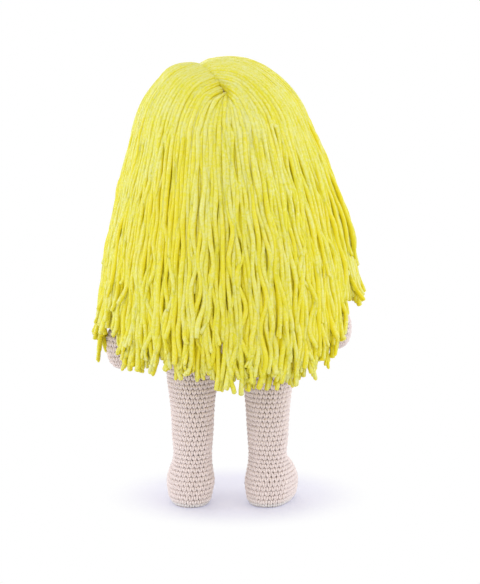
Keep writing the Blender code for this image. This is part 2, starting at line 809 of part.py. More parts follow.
def make_lock(name, first, last, front):
    rings = []
    for share in lock_steps:
        at_hem = share == lock_steps[-1]
        deep = HEM_TAPER_SHARE if at_hem else 0
        rows = []
        for depth, places in ((1, (0, 0.25, 0.5, 0.75, 1)), (0, (1, 0.5, 0))):
            for place in places:
                bulge = BULGE_SHARE * (1 - (2 * place - 1) ** 2) * depth
                level = between(depth + bulge, 0.5, 2 * deep)
                phi = between(first, last, place)
                rows.append([place, lock_point(phi, share, level, front)])
        for pair in ((rows[0], rows[4]), (rows[7], rows[5])):
            way = (pair[1][1] - pair[0][1]).normalized() * LOCK_GAP / 2
            pair[0][1] = pair[0][1] + way
            pair[1][1] = pair[1][1] - way
        rings.append([point for place, point in rows])
    loft(name, rings, doll, hair_yarn)


number = 0
edges = [between(-SIDE_EDGE, SIDE_EDGE, i / SIDE_LOCKS) for i in range(SIDE_LOCKS + 1)]
for first, last in zip(edges, edges[1:]):
    number += 1
    make_lock(f"hair_lock_{number:02d}", first, last, False)
for sign, side in ((-1, "right"), (1, "left")):
    for i in range(FRONT_LOCKS):
        near = between(SIDE_EDGE, FRONT_EDGE, i / FRONT_LOCKS)
        far = between(SIDE_EDGE, FRONT_EDGE, (i + 1) / FRONT_LOCKS)
        make_lock(f"{side}_front_lock_{i + 1}", sign * near, sign * far, True)


# The strip of stitches that holds the hair along the parting
def parting_frame(share):
    here = on_head(parting_point(share), GAP)
    step = 1 / (4 * len(PARTING_SHARES))
    ahead = on_head(parting_point(min(1, share + step)), GAP)
    behind = on_head(parting_point(max(0, share - step)), GAP)
    along = (ahead - behind).normalized()
    out = (here - head_seat @ head_centre).normalized()
    return here, along.cross(out).normalized(), out


strip_rings = []
strip_steps = 10
for i in range(strip_steps + 1):
    here, side_way, out = parting_frame(i / strip_steps)
    lift = GAP + PARTING_HALF_WIDTH * PARTING_HALF_WIDTH / HEAD_HALF_DEPTH
    ring = []
    for across, rise in ((-1, 0), (1, 0), (0.6, 1), (-0.6, 1)):
        ring.append(
            here + side_way * across * PARTING_HALF_WIDTH + out * (lift + rise * PARTING_DEPTH)
        )
    strip_rings.append(ring)
loft("parting_seam", strip_rings, doll, hair_yarn)
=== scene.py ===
import math

import bmesh
import bpy
import numpy as np
from mathutils import Matrix, Vector


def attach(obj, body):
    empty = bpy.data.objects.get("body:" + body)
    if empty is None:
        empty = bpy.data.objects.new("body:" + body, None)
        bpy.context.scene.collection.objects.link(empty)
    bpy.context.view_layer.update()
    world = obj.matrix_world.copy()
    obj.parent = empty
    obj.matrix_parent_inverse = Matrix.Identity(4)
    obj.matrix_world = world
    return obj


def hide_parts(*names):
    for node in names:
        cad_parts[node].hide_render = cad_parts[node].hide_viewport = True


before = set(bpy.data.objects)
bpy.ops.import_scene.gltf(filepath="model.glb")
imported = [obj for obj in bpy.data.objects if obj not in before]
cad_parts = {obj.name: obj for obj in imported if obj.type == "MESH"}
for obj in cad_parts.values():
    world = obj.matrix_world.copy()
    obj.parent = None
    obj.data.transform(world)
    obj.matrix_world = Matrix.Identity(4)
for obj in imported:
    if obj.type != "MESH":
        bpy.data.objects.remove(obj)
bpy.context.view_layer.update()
dollY = -0.0055  # the doll's own middle line in the frame
print("frame loaded,", len(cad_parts), "nodes")


# Small helpers

def mix(a, b, share):
    return a + (b - a) * share


def ease(share):
    share = np.clip(share, 0, 1)
    return share * share * (3 - 2 * share)


def unit(vectors):
    return vectors / np.maximum(np.linalg.norm(vectors, axis=-1, keepdims=True), 1e-9)


def linkObject(name, mesh):
    made = bpy.data.objects.new(name, mesh)
    bpy.context.scene.collection.objects.link(made)
    return made


# Node helpers: a socket that takes part in sums, and one way to add any other node

class Wire:
    def __init__(self, tree, socket):
        self.tree = tree
        self.socket = socket

    def maths(self, operation, *others):
        values = dict(enumerate((self, *others)))
        return addNode(self.tree, "ShaderNodeMath", {"operation": operation}, values)

    def other(self, name):
        return Wire(self.tree, self.socket.node.outputs[name])

    def held(self, low=0.0, high=1.0):
        return self.maths("MAXIMUM", low).maths("MINIMUM", high)

    def __add__(self, value):
        return self.maths("ADD", value)

    def __sub__(self, value):
        return self.maths("SUBTRACT", value)

    def __mul__(self, value):
        return self.maths("MULTIPLY", value)

    def __truediv__(self, value):
        return self.maths("DIVIDE", value)

    def __rsub__(self, value):
        return addNode(self.tree, "ShaderNodeMath", {"operation": "SUBTRACT"}, {0: value, 1: self})

    def __rtruediv__(self, value):
        return addNode(self.tree, "ShaderNodeMath", {"operation": "DIVIDE"}, {0: value, 1: self})

    __radd__ = __add__
    __rmul__ = __mul__


def addNode(tree, kind, settings=None, values=None, output=0):
    node = tree.nodes.new(kind)
    for name, value in (settings or {}).items():
        setattr(node, name, value)
    for name, value in (values or {}).items():
        if isinstance(value, Wire):
            tree.links.new(value.socket, node.inputs[name])
        elif isinstance(value, tuple) and node.inputs[name].type == "RGBA":
            node.inputs[name].default_value = (*value, 1)
        else:
            node.inputs[name].default_value = value
    return Wire(tree, node.outputs[output]) if len(node.outputs) else node


def mixColour(tree, share, a, b):
    return addNode(tree, "ShaderNodeMix", {"data_type": "RGBA"}, {0: share, 6: a, 7: b}, 2)


def startTree(name, inputs):
    tree = bpy.data.node_groups.new(name, "GeometryNodeTree")
    tree.interface.new_socket("Geometry", in_out="INPUT", socket_type="NodeSocketGeometry")
    for title, kind in inputs:
        tree.interface.new_socket(title, in_out="INPUT", socket_type=f"NodeSocket{kind}")
    tree.interface.new_socket("Geometry", in_out="OUTPUT", socket_type="NodeSocketGeometry")
    source = tree.nodes.new("NodeGroupInput")
    return tree, {socket.name: Wire(tree, socket) for socket in source.outputs if socket.name}


def endTree(tree, geometry, finish):
    whole = addNode(tree, "GeometryNodeRealizeInstances", None, {0: geometry})
    painted = addNode(tree, "GeometryNodeSetMaterial", None, {"Geometry": whole, "Material": finish})
    addNode(tree, "NodeGroupOutput", None, {"Geometry": painted})


def growMesh(name, holder, tree, values):
    modifier = holder.modifiers.new("grow", "NODES")
    modifier.node_group = tree
    for item in tree.interface.items_tree:
        if item.name in values:
            modifier[item.identifier] = values[item.name]
    bpy.context.view_layer.update()
    graph = bpy.context.evaluated_depsgraph_get()
    mesh = bpy.data.meshes.new_from_object(
        holder.evaluated_get(graph), preserve_all_data_layers=True, depsgraph=graph
    )
    holder.modifiers.remove(modifier)
    bpy.data.objects.remove(holder)
    mesh.name = name
    return linkObject(name, mesh)


def pointHolder(name, points, attributes, edges=()):
    mesh = bpy.data.meshes.new(name)
    mesh.from_pydata([tuple(point) for point in points], list(edges), [])
    for title, values in attributes.items():
        values = np.asarray(values, dtype=np.float32)
        kind, field = ("FLOAT_VECTOR", "vector") if values.ndim == 2 else ("FLOAT", "value")
        mesh.attributes.new(title, kind, "POINT").data.foreach_set(field, values.ravel())
    return linkObject(name, mesh)


# Finishes

def startFinish(name):
    material = bpy.data.materials.new(name)
    material.use_nodes = True
    material.node_tree.nodes.clear()
    return material, material.node_tree


def endFinish(tree, values):
    shader = addNode(tree, "ShaderNodeBsdfPrincipled", None, values)
    addNode(tree, "ShaderNodeOutputMaterial", None, {"Surface": shader})


def readValue(tree, name):
    return addNode(tree, "ShaderNodeAttribute", {"attribute_name": name}, output="Fac")


def placeOn(tree):
    return addNode(tree, "ShaderNodeTexCoord", output="Object")


def blotch(tree, scale, detail=2.0, roughness=0.5):
    values = {"Vector": placeOn(tree), "Scale": scale, "Detail": detail, "Roughness": roughness}
    return addNode(tree, "ShaderNodeTexNoise", None, values, "Fac")


def aroundYarn(tree):
    side = addNode(tree, "ShaderNodeAttribute", {"attribute_name": "yarnSide"}, output="Vector")
    parts = addNode(tree, "ShaderNodeSeparateXYZ", None, {0: side}, "X")
    return parts.other("Y").maths("ARCTAN2", parts)


def relief(tree, height, depth, strength):
    values = {"Strength": strength, "Distance": depth, "Height": height}
    return addNode(tree, "ShaderNodeBump", None, values, "Normal")


hairFinishLook = {
    # body is the yarn's own colour; pale also serves as painted light and gold as painted golden shade
    "pale": (0.680, 0.675, 0.250),
    "body": (0.660, 0.620, 0.040),
    "gold": (0.720, 0.600, 0.003),
    "crossPitch": 0.0016,
    "crossSlant": 2.2,
    "fibreScale": 1400,
    "patchScale": 48,
    "glintScale": 620,
    "warmScale": 36,
    "highlightStreakScale": 150,
    "highlightStreakStep": 7.3,
    "litSideStart": 0.15,
    "litSideGain": 1.4,
    "crownEnd": 0.035,
    "crownFade": 0.06,
    "lightness": {  # how much each thing makes the yarn pale: the outer side, glints and streaks are painted light, inner strands and the hair below the crown painted shade, the strand's tone and patches its own colour
        "crest": 0.55, "shade": 0.44, "patch": 0.9, "glint": 2.4, "highlightStreak": 0.9,
        "less": 0.28, "deep": 0.5, "hang": 0.12,
    },
    "golden": {  # how much each thing makes it golden: the strands' sides, inner strands, chain crevices and the hair below the crown are painted shade, warm patches and the strand's tone its own colour
        "side": 0.75, "deep": 0.8, "warm": 1.1, "hang": 0.25, "shade": 0.30, "grooveShade": 0.12, "most": 0.9,
    },
    "throughShare": 0.28,
    "throughDepth": 0.0010,
    "throughColour": (1.0, 0.85, 0.30),
}


def makeHairFinish(look):
    material, tree = startFinish("satinHairYarn")
    shade = readValue(tree, "shade")
    # deep is painted shade on the inner strands
    deep = readValue(tree, "deep")
    along = readValue(tree, "alongYarn")
    turn = aroundYarn(tree).maths("ABSOLUTE")
    # the chain's cross ridges shape the bump, and their crevices get painted golden shade
    cross = along * (math.tau / look["crossPitch"]) + turn * look["crossSlant"]
    cross = cross.maths("COSINE") * 0.5 + 0.5
    fibre = blotch(tree, look["fibreScale"], 3)
    patch = blotch(tree, look["patchScale"])
    glint = blotch(tree, look["glintScale"], roughness=0.6)
    warm = blotch(tree, look["warmScale"])
    # painted highlight: pale streaks along each strand stand in for the satin yarn's shine
    highlightStreak = addNode(tree, "ShaderNodeTexNoise", {"noise_dimensions": "1D"}, {
        "W": along * look["highlightStreakScale"] + readValue(tree, "strand") * look["highlightStreakStep"],
        "Scale": 1.0, "Detail": 2.0,
    }, "Fac")
    away = addNode(tree, "ShaderNodeAttribute", {"attribute_name": "away"}, output="Vector")
    normal = addNode(tree, "ShaderNodeTexCoord", output="Normal")
    crest = addNode(
        tree, "ShaderNodeVectorMath", {"operation": "DOT_PRODUCT"}, {0: away, 1: normal}, "Value"
    )
    crest = ((crest - look["litSideStart"]) * look["litSideGain"]).held()  # painted light: 1 on a strand's outer side, which is painted pale as if lit; its sides get golden painted shade
    hang = ((along - look["crownEnd"]) / look["crownFade"]).held()  # painted light: the crown is paler than the hair below it, as if lit from above
    part = look["lightness"]
    lightness = crest * part["crest"] + shade * part["shade"] + (patch - 0.5) * part["patch"]
    lightness = lightness + (glint - 0.5) * part["glint"] + (highlightStreak - 0.5) * part["highlightStreak"] - part["less"]
    lightness = (lightness - deep * part["deep"] - hang * part["hang"]).held()
    colour = mixColour(tree, lightness, look["body"], look["pale"])
    part = look["golden"]
    golden = (1 - crest) * part["side"] + deep * part["deep"] + (warm - 0.5) * part["warm"]
    golden = golden + hang * part["hang"] - shade * part["shade"] + (1 - cross) * part["grooveShade"]
    colour = mixColour(tree, golden.held() * part["most"], colour, look["gold"])
    roughness = (fibre * 0.16 + (1 - cross) * 0.10 + 0.38).held(0.2, 0.8)
    bump = relief(tree, cross * 0.55 + fibre * 0.45, 0.00028, 0.55)
    endFinish(tree, {
        "Base Color": colour, "Roughness": roughness, "Normal": bump,
        "Sheen Weight": 0.02, "Sheen Roughness": 0.4, "Specular IOR Level": 0.22,
        "Subsurface Weight": look["throughShare"], "Subsurface Scale": look["throughDepth"],
        "Subsurface Radius": look["throughColour"],
    })
    return material


crochetLook = {
    "crest": (0.775, 0.67, 0.65),
    "holeShade": (0.38, 0.28, 0.24),
    "edge": (0.78, 0.745, 0.75),
    "blushColour": (0.80, 0.40, 0.36),
    "wigCap": (0.80, 0.66, 0.08),
    "blushShare": 0.55,
    "plies": 3,
    "plyPitch": 0.0032,
    "fibreScale": 2200,
    "patchScale": 70,
    "crestShare": {"height": 1.45, "less": 0.12, "patch": 0.3, "tint": 0.22, "ply": 0.12},
}


def makeCrochetFinish(look):
    material, tree = startFinish("cottonCrochet")
    height = readValue(tree, "relief")
    tint = readValue(tree, "tint")
    along = readValue(tree, "alongYarn")
    turn = aroundYarn(tree)
    ply = (turn * look["plies"] + along * (math.tau * look["plies"] / look["plyPitch"])).maths("SINE")
    ply = ply * 0.5 + 0.5
    fibre = blotch(tree, look["fibreScale"], 3)
    patch = blotch(tree, look["patchScale"])
    part = look["crestShare"]
    # painted shade: the low parts of each stitch, the ground beneath them and the grooves between plies take
    # the dark hole colour; patch and tint are the yarn's own tone
    lift = height * part["height"] - part["less"] + (patch - 0.5) * part["patch"]
    lift = (lift + (tint - 0.5) * part["tint"] + (ply - 0.5) * part["ply"]).held()
    colour = mixColour(tree, lift, look["holeShade"], look["crest"])
    # painted light: where pale is set, the yarn turns to the pale edge colour, as if lit
    colour = mixColour(tree, (readValue(tree, "pale") * lift).held(), colour, look["edge"])
    colour = mixColour(tree, readValue(tree, "blush") * look["blushShare"], colour, look["blushColour"])
    colour = mixColour(tree, readValue(tree, "underHair"), colour, look["wigCap"])
    bump = relief(tree, ply * 0.6 + fibre * 0.55, 0.00022, 0.75)
    endFinish(tree, {
        "Base Color": colour, "Roughness": (fibre * 0.2 + 0.72).held(), "Normal": bump,
        "Sheen Weight": 0.32, "Sheen Roughness": 0.45, "Specular IOR Level": 0.25,
    })
    return material


threadLook = {
    "plies": 2,
    "plyPitch": 0.0016,
    "fibreScale": 1800,
}


def makeThreadFinish(name, light, dark, look):
    material, tree = startFinish(name)
    rise = math.tau * look["plies"] / look["plyPitch"]
    twist = (aroundYarn(tree) * look["plies"] + readValue(tree, "alongYarn") * rise).maths("SINE")
    fibre = blotch(tree, look["fibreScale"], 3)
    # painted shade: the grooves between the plies are darker; fibre is the thread's own tone
    share = (twist * 0.3 + fibre * 0.6 + 0.2).held()
    bump = relief(tree, twist * 0.5 + fibre * 0.4, 0.0002, 0.6)
    endFinish(tree, {
        "Base Color": mixColour(tree, share, dark, light), "Roughness": fibre * 0.2 + 0.6,
        "Normal": bump, "Sheen Weight": 0.2, "Specular IOR Level": 0.3,
    })
    return material


plasticLook = {
    "patchScale": 120,
    "grainScale": 2500,
}


def makePlasticFinish(name, colour, other, roughness, grain, look):
    material, tree = startFinish(name)
    patch = blotch(tree, look["patchScale"], 3)
    fine = blotch(tree, look["grainScale"])
    endFinish(tree, {
        "Base Color": mixColour(tree, patch, colour, other),
        "Roughness": patch * 0.08 + fine * 0.05 + roughness,
        "Normal": relief(tree, fine, grain, 0.3), "Specular IOR Level": 0.6,
    })
    return material


def makeGrainFinish(name, light, dark, stretch, scale):
    material, tree = startFinish(name)
    place = addNode(tree, "ShaderNodeMapping", None, {"Vector": placeOn(tree), "Scale": stretch})
    values = {"Vector": place, "Scale": scale, "Detail": 4.0, "Roughness": 0.6}
    grain = addNode(tree, "ShaderNodeTexNoise", None, values, "Fac")
    fibre = blotch(tree, 1500)
    endFinish(tree, {
        "Base Color": mixColour(tree, (grain * 1.4 - 0.2).held(), dark, light),
        "Roughness": fibre * 0.15 + 0.65, "Normal": relief(tree, grain + fibre * 0.4, 0.0002, 0.5),
    })
    return material


hairFinish = makeHairFinish(hairFinishLook)
crochetFinish = makeCrochetFinish(crochetLook)
seamFinish = makeThreadFinish("strongThread", (0.80, 0.71, 0.64), (0.52, 0.43, 0.36), threadLook)
lipFinish = makeThreadFinish("faceYarn", (0.74, 0.35, 0.33), (0.50, 0.17, 0.16), threadLook)
lashFinish = makeThreadFinish("lashThread", (0.20, 0.12, 0.08), (0.09, 0.05, 0.03), threadLook)
eyeFinish = makePlasticFinish(
    "eyePlastic", (0.028, 0.018, 0.015), (0.045, 0.028, 0.022), 0.09, 0.00001, plasticLook
)
clearFinish = makePlasticFinish(
    "clearPlastic", (0.80, 0.80, 0.78), (0.72, 0.73, 0.72), 0.34, 0.00003, plasticLook
)
woodFinish = makeGrainFinish("beechWood", (0.66, 0.47, 0.29), (0.47, 0.30, 0.16), (1, 1, 0.08), 700)
cardFinish = makeGrainFinish("greyCard", (0.62, 0.54, 0.44), (0.50, 0.42, 0.33), (1, 1, 1), 400)
print("finishes made")


# Surfaces through rings of points, and the crochet that covers them

def oval(halfWidth, back, front, level, count=48):
    turn = np.linspace(0, math.tau, count, endpoint=False)
    reach = np.where(np.cos(turn) > 0, back, front)
    return np.stack([halfWidth * np.sin(turn), reach * np.cos(turn), np.full(count, level)], axis=1)


def smoothRings(rings, step):
    rings = np.array(rings)
    gaps = np.linalg.norm(np.diff(rings, axis=0), axis=2).mean(axis=1)
    place = np.concatenate([[0], np.cumsum(gaps)])
    want = np.linspace(0, place[-1], max(3, round(place[-1] / step)) + 1)
    slope = np.gradient(rings, place, axis=0)
    index = np.clip(np.searchsorted(place, want, side="right") - 1, 0, len(place) - 2)
    width = (place[index + 1] - place[index])[:, None, None]
    t = (want - place[index])[:, None, None] / width
    low, high = rings[index], rings[index + 1]
    lowWay, highWay = slope[index] * width, slope[index + 1] * width
    grid = (
        (2 * t**3 - 3 * t**2 + 1) * low + (t**3 - 2 * t**2 + t) * lowWay
        + (3 * t**2 - 2 * t**3) * high + (t**3 - t**2) * highWay
    )
    return grid, want


def outwardOf(grid, hint=None):
    upward = np.gradient(grid, axis=0)
    across = np.roll(grid, -1, axis=1) - np.roll(grid, 1, axis=1)
    outward = unit(np.cross(upward, across))
    if hint is None:
        way = np.sum(outward * (grid - grid.mean(axis=1, keepdims=True)))
    else:
        way = np.sum(outward * np.array(hint))
    outward = outward * (1 if way > 0 else -1)
    small = np.linalg.norm(across, axis=2).mean(axis=1) < 1e-5  # poles point along the axis
    for row in np.where(small)[0]:
        near = 1 if row == 0 else row - 1
        outward[row] = unit(outward[near].mean(axis=0))
    return outward


def gridMesh(name, grid):
    count = grid.shape[1]
    data = bmesh.new()
    points = [[data.verts.new(point) for point in row] for row in grid]
    for lower, upper in zip(points, points[1:]):
        for i in range(count):
            j = (i + 1) % count
            data.faces.new((lower[i], upper[i], upper[j], lower[j]))
    for end in (points[0], points[-1]):
        data.faces.new(end)
    bmesh.ops.remove_doubles(data, verts=data.verts, dist=0.00002)
    bmesh.ops.recalc_face_normals(data, faces=data.faces)
    if data.calc_volume(signed=True) < 0:
        bmesh.ops.reverse_faces(data, faces=data.faces)
    mesh = bpy.data.meshes.new(name)
    data.to_mesh(mesh)
    data.free()
    mesh.shade_smooth()
    return linkObject(name, mesh)


def lumps(points, size, depth, seed):
    total = np.zeros(len(points))
    luck = np.random.default_rng(seed)
    waves = 4
    for octave in range(3):
        for way in luck.normal(size=(waves, 3)):
            way = way / size * (1.7 ** octave)
            total += np.sin(points @ way + luck.uniform(0, math.tau)) / (octave + 1)
    return total * depth / waves


stitchLook = {
    "rowPitch": 0.0031,
    "stitchPitch": 0.0033,
    "lean": -0.27,
    "inset": 0.0010,
    "groundInset": 0.0014,
    "unevenness": 0.00022,
    "lumpSize": 0.006,
    "turnJitter": 0.10,
    "denseStep": 0.0004,
    "increase": 0.65,
}


def layStitches(rings, look, seed, hint=None, keep=None):
    dense, place = smoothRings(rings, look["denseStep"])
    outward = outwardOf(dense, hint)
    rows = max(2, round(place[-1] / look["rowPitch"]))
    pitch = place[-1] / rows
    count = 0
    found = {"point": [], "outward": [], "upward": [], "stretch": []}

    def ringAt(values, distance):
        spot = np.clip(distance / place[-1], 0, 1) * (len(place) - 1)
        low = min(int(spot), len(place) - 2)
        return mix(values[low], values[low + 1], spot - low)

    def around(values, spots):
        low = spots.astype(int) % len(values)
        return mix(values[low], values[(low + 1) % len(values)], (spots - spots.astype(int))[:, None])

    for row in range(rows):
        middle = (row + 0.5) * pitch
        ring = ringAt(dense, middle)
        steps = np.linalg.norm(np.roll(ring, -1, axis=0) - ring, axis=1)
        travelled = np.concatenate([[0], np.cumsum(steps)])
        wanted = travelled[-1] / look["stitchPitch"]
        if abs(wanted - count) > look["increase"]:  # stitches are added or skipped as the round changes
            count = max(4, round(wanted))
        share = ((np.arange(count) + 0.5 + look["lean"] * row) % count) / count
        spots = np.interp(share * travelled[-1], travelled, np.arange(len(travelled)))
        low = around(ringAt(dense, middle - pitch / 2), spots)
        high = around(ringAt(dense, middle + pitch / 2), spots)
        found["point"].append(around(ring, spots))
        found["outward"].append(unit(around(ringAt(outward, middle), spots)))
        found["upward"].append(unit(high - low))
        wide = travelled[-1] / count / look["stitchPitch"]
        tall = np.linalg.norm(high - low, axis=1) / look["rowPitch"]
        found["stretch"].append(np.stack([np.full(count, wide), tall, np.full(count, 1.0)], axis=1))
    found = {name: np.concatenate(values) for name, values in found.items()}
    uneven = lumps(found["point"], look["lumpSize"], look["unevenness"], seed)
    found["point"] = found["point"] + found["outward"] * (uneven - look["inset"])[:, None]
    if keep is not None:
        kept = keep(found["point"])
        found = {name: values[kept] for name, values in found.items()}
    return found


def groundGrid(rings, look, step=0.0016):
    grid = smoothRings(rings, step)[0]
    return grid - outwardOf(grid) * look["groundInset"]


def joinFinds(*finds):
    return {name: np.concatenate([find[name] for find in finds]) for name in finds[0]}


# One stitch: yarn tubes along paths in millimetres, with X across, Y up the row and Z outwards

def yarnTubes(name, paths, sides=5):
    points, faces, heights, sideways, travel = [], [], [], [], []
    for path in paths:
        path = np.array(path, dtype=float)
        centres, radii = path[:, :3], path[:, 3]
        ways = unit(np.gradient(centres, axis=0))
        across = unit(np.cross(ways, (0.0, 0.35, 1.0)))
        other = np.cross(across, ways)
        first = len(points)
        travelled = np.concatenate([[0], np.cumsum(np.linalg.norm(np.diff(centres, axis=0), axis=1))])
        for i, centre in enumerate(centres):
            for side in range(sides):
                turn = math.tau * side / sides
                points.append(centre + radii[i] * (across[i] * math.cos(turn) + other[i] * math.sin(turn)))
                heights.append(points[-1][2])
                sideways.append((math.cos(turn), math.sin(turn), 0))
                travel.append(travelled[i] / 1000)
        for i in range(len(centres) - 1):
            for side in range(sides):
                a, b = first + i * sides + side, first + i * sides + (side + 1) % sides
                faces.append((a, b, b + sides, a + sides))
        faces.append(tuple(range(first + sides - 1, first - 1, -1)))
        last = first + (len(centres) - 1) * sides
        faces.append(tuple(range(last, last + sides)))
    mesh = bpy.data.meshes.new(name)
    mesh.from_pydata([tuple(point / 1000) for point in points], [], faces)
    low, high = min(heights), max(heights)
    # relief is each point's height in the stitch, which the crochet finish turns into painted shade where it
    # is low
    level = [(height - low) / (high - low) for height in heights]
    mesh.attributes.new("relief", "FLOAT", "POINT").data.foreach_set("value", level)
    mesh.attributes.new("alongYarn", "FLOAT", "POINT").data.foreach_set("value", travel)
    mesh.attributes.new("yarnSide", "FLOAT_VECTOR", "POINT").data.foreach_set(
        "vector", np.array(sideways, dtype=np.float32).ravel()
    )
    data = bmesh.new()
    data.from_mesh(mesh)
    bmesh.ops.recalc_face_normals(data, faces=data.faces)
    data.to_mesh(mesh)
    data.free()
    mesh.shade_smooth()
    return linkObject(name, mesh)


def mirrored(path):
    return [(-x, y, z, radius) for x, y, z, radius in path]


stitchPath = [  # one leg of a single crochet: narrow at the foot, touching its neighbour above it
    (-0.20, -2.00, -0.52, 0.42), (-0.36, -1.42, 0.02, 0.56), (-0.60, -0.62, 0.34, 0.84),
    (-0.79, 0.25, 0.40, 0.96), (-0.85, 1.05, 0.20, 0.86), (-0.76, 1.78, -0.45, 0.52),
]


def makeStitchTree():
    tree, given = startTree("crochetStitches", [
        ("Stitch", "Object"), ("Ground", "Object"), ("Turn", "Float"),
        ("Seed", "Int"), ("Yarn", "Material"),
    ])
    stitch = addNode(tree, "GeometryNodeObjectInfo", None, {"Object": given["Stitch"]}, "Geometry")
    ground = addNode(tree, "GeometryNodeObjectInfo", None, {"Object": given["Ground"]}, "Geometry")
    vector = {"data_type": "FLOAT_VECTOR"}
    outward = addNode(tree, "GeometryNodeInputNamedAttribute", vector, {"Name": "outward"})
    upward = addNode(tree, "GeometryNodeInputNamedAttribute", vector, {"Name": "upward"})
    stretch = addNode(tree, "GeometryNodeInputNamedAttribute", vector, {"Name": "stretch"})
    facing = addNode(
        tree, "FunctionNodeAxesToRotation", {"primary_axis": "Z", "secondary_axis": "Y"},
        {"Primary Axis": outward, "Secondary Axis": upward},
    )
    placed = addNode(tree, "GeometryNodeInstanceOnPoints", None, {
        "Points": given["Geometry"], "Instance": stitch, "Rotation": facing, "Scale": stretch,
    })
    jitter = addNode(tree, "FunctionNodeRandomValue", {"data_type": "FLOAT"}, {
        2: given["Turn"] * -1, 3: given["Turn"], 8: given["Seed"],
    }, 1)
    swing = addNode(tree, "ShaderNodeCombineXYZ", None, {"X": jitter * 0.6, "Z": jitter})
    placed = addNode(tree, "GeometryNodeRotateInstances", None, {"Instances": placed, "Rotation": swing})
    tint = addNode(tree, "FunctionNodeRandomValue", {"data_type": "FLOAT"}, {8: given["Seed"] + 7}, 1)
    placed = addNode(
        tree, "GeometryNodeStoreNamedAttribute", {"data_type": "FLOAT", "domain": "INSTANCE"},
        {"Geometry": placed, "Name": "tint", "Value": tint},
    )
    # the ground has no relief, so the crochet finish paints it all in the dark hole colour, as shade
    joined = tree.nodes.new("GeometryNodeJoinGeometry")
    tree.links.new(placed.socket, joined.inputs[0])
    tree.links.new(ground.socket, joined.inputs[0])
    endTree(tree, Wire(tree, joined.outputs[0]), given["Yarn"])
    return tree


stitchTree = makeStitchTree()
stitchShape = yarnTubes("stitchShape", [stitchPath, mirrored(stitchPath)])


def markPoints(piece, values):
    for title, row in values.items():
        row = np.asarray(row, dtype=np.float32)
        piece.data.attributes.new(title, "FLOAT", "POINT").data.foreach_set("value", row)


def meshPoints(obj):
    points = np.empty(len(obj.data.vertices) * 3, dtype=np.float32)
    obj.data.vertices.foreach_get("co", points)
    return points.reshape(-1, 3)


def crochetPiece(name, found, ground, seed, extra=None):
    attributes = {title: found[title] for title in ("outward", "upward", "stretch")}
    attributes.update(extra or {})
    holder = pointHolder(f"{name}Points", found["point"], attributes)
    piece = growMesh(name, holder, stitchTree, {
        "Stitch": stitchShape, "Ground": ground, "Turn": stitchLook["turnJitter"],
        "Seed": seed, "Yarn": crochetFinish,
    })
    bpy.data.objects.remove(ground)
    return piece


# Legs: a ball in the hip, a tapering tube and a foot that turns out

legSizes = {
    "hipHeight": 0.097,
    "hipBack": 0.005,
    "hipX": 0.0237,
    "thighRadius": 0.0164,
    "ankleRadius": 0.0121,
    "footHalfWidth": 0.0147,
    "footFront": 0.0275,
    "footBack": 0.0147,
    "footHeight": 0.031,
    "toeOut": {"left": 15, "right": -33},
    "footOut": {"left": 0.0016, "right": 0.0002},
    "foot": (
        (0.00, 0.72, 0.78, 0.84), (0.08, 0.85, 0.91, 0.95), (0.26, 0.94, 0.98, 1.00),
        (0.46, 0.99, 0.98, 0.98), (0.66, 0.92, 0.92, 0.88), (0.84, 0.85, 0.85, 0.69),
    ),
    "leg": ((0.00, 0.00), (0.18, 0.14), (0.38, 0.30), (0.54, 0.48), (0.68, 0.74), (0.84, 0.93)),
    "paleRow": (1.6, 0.0030),
    "paleUnder": 0.3,
    "paleToe": 0.5,
    "toeStart": -0.010,
    "toeFade": 0.012,
}


def legRings(sizes, side):
    sign = 1 if side == "left" else -1
    rings = []
    for height, width, back, front in sizes["foot"]:
        rings.append(oval(
            width * sizes["footHalfWidth"], back * sizes["footBack"], front * sizes["footFront"],
            height * sizes["footHeight"],
        ))
    for height, share in sizes["leg"]:
        radius = mix(sizes["ankleRadius"], sizes["thighRadius"], share)
        rings.append(oval(radius, radius, radius, mix(sizes["footHeight"], sizes["hipHeight"], height)))
    radius = sizes["thighRadius"]
    for degrees in (0, 22, 44, 66, 80):
        turn = math.radians(degrees)
        level = sizes["hipHeight"] + radius * math.sin(turn)
        rings.append(oval(*[radius * math.cos(turn)] * 3, level))
    rings.append(oval(0, 0, 0, sizes["hipHeight"] + radius))
    sole = [rings[0] * (share, share, 1) for share in (0.0, 0.25, 0.5, 0.75, 1.0)]
    turn = np.array(Matrix.Rotation(math.radians(sizes["toeOut"][side]), 3, "Z"))
    shift = np.array([sign * sizes["hipX"], sizes["hipBack"] + dollY, 0])

    def placed(ring):
        low = float(ease(1 - ring[0, 2] / sizes["footHeight"]))  # the foot stands a little outwards
        return ring @ turn.T + shift + (sign * sizes["footOut"][side] * low, 0, 0)

    return [placed(ring) for ring in rings], [placed(ring) for ring in sole]


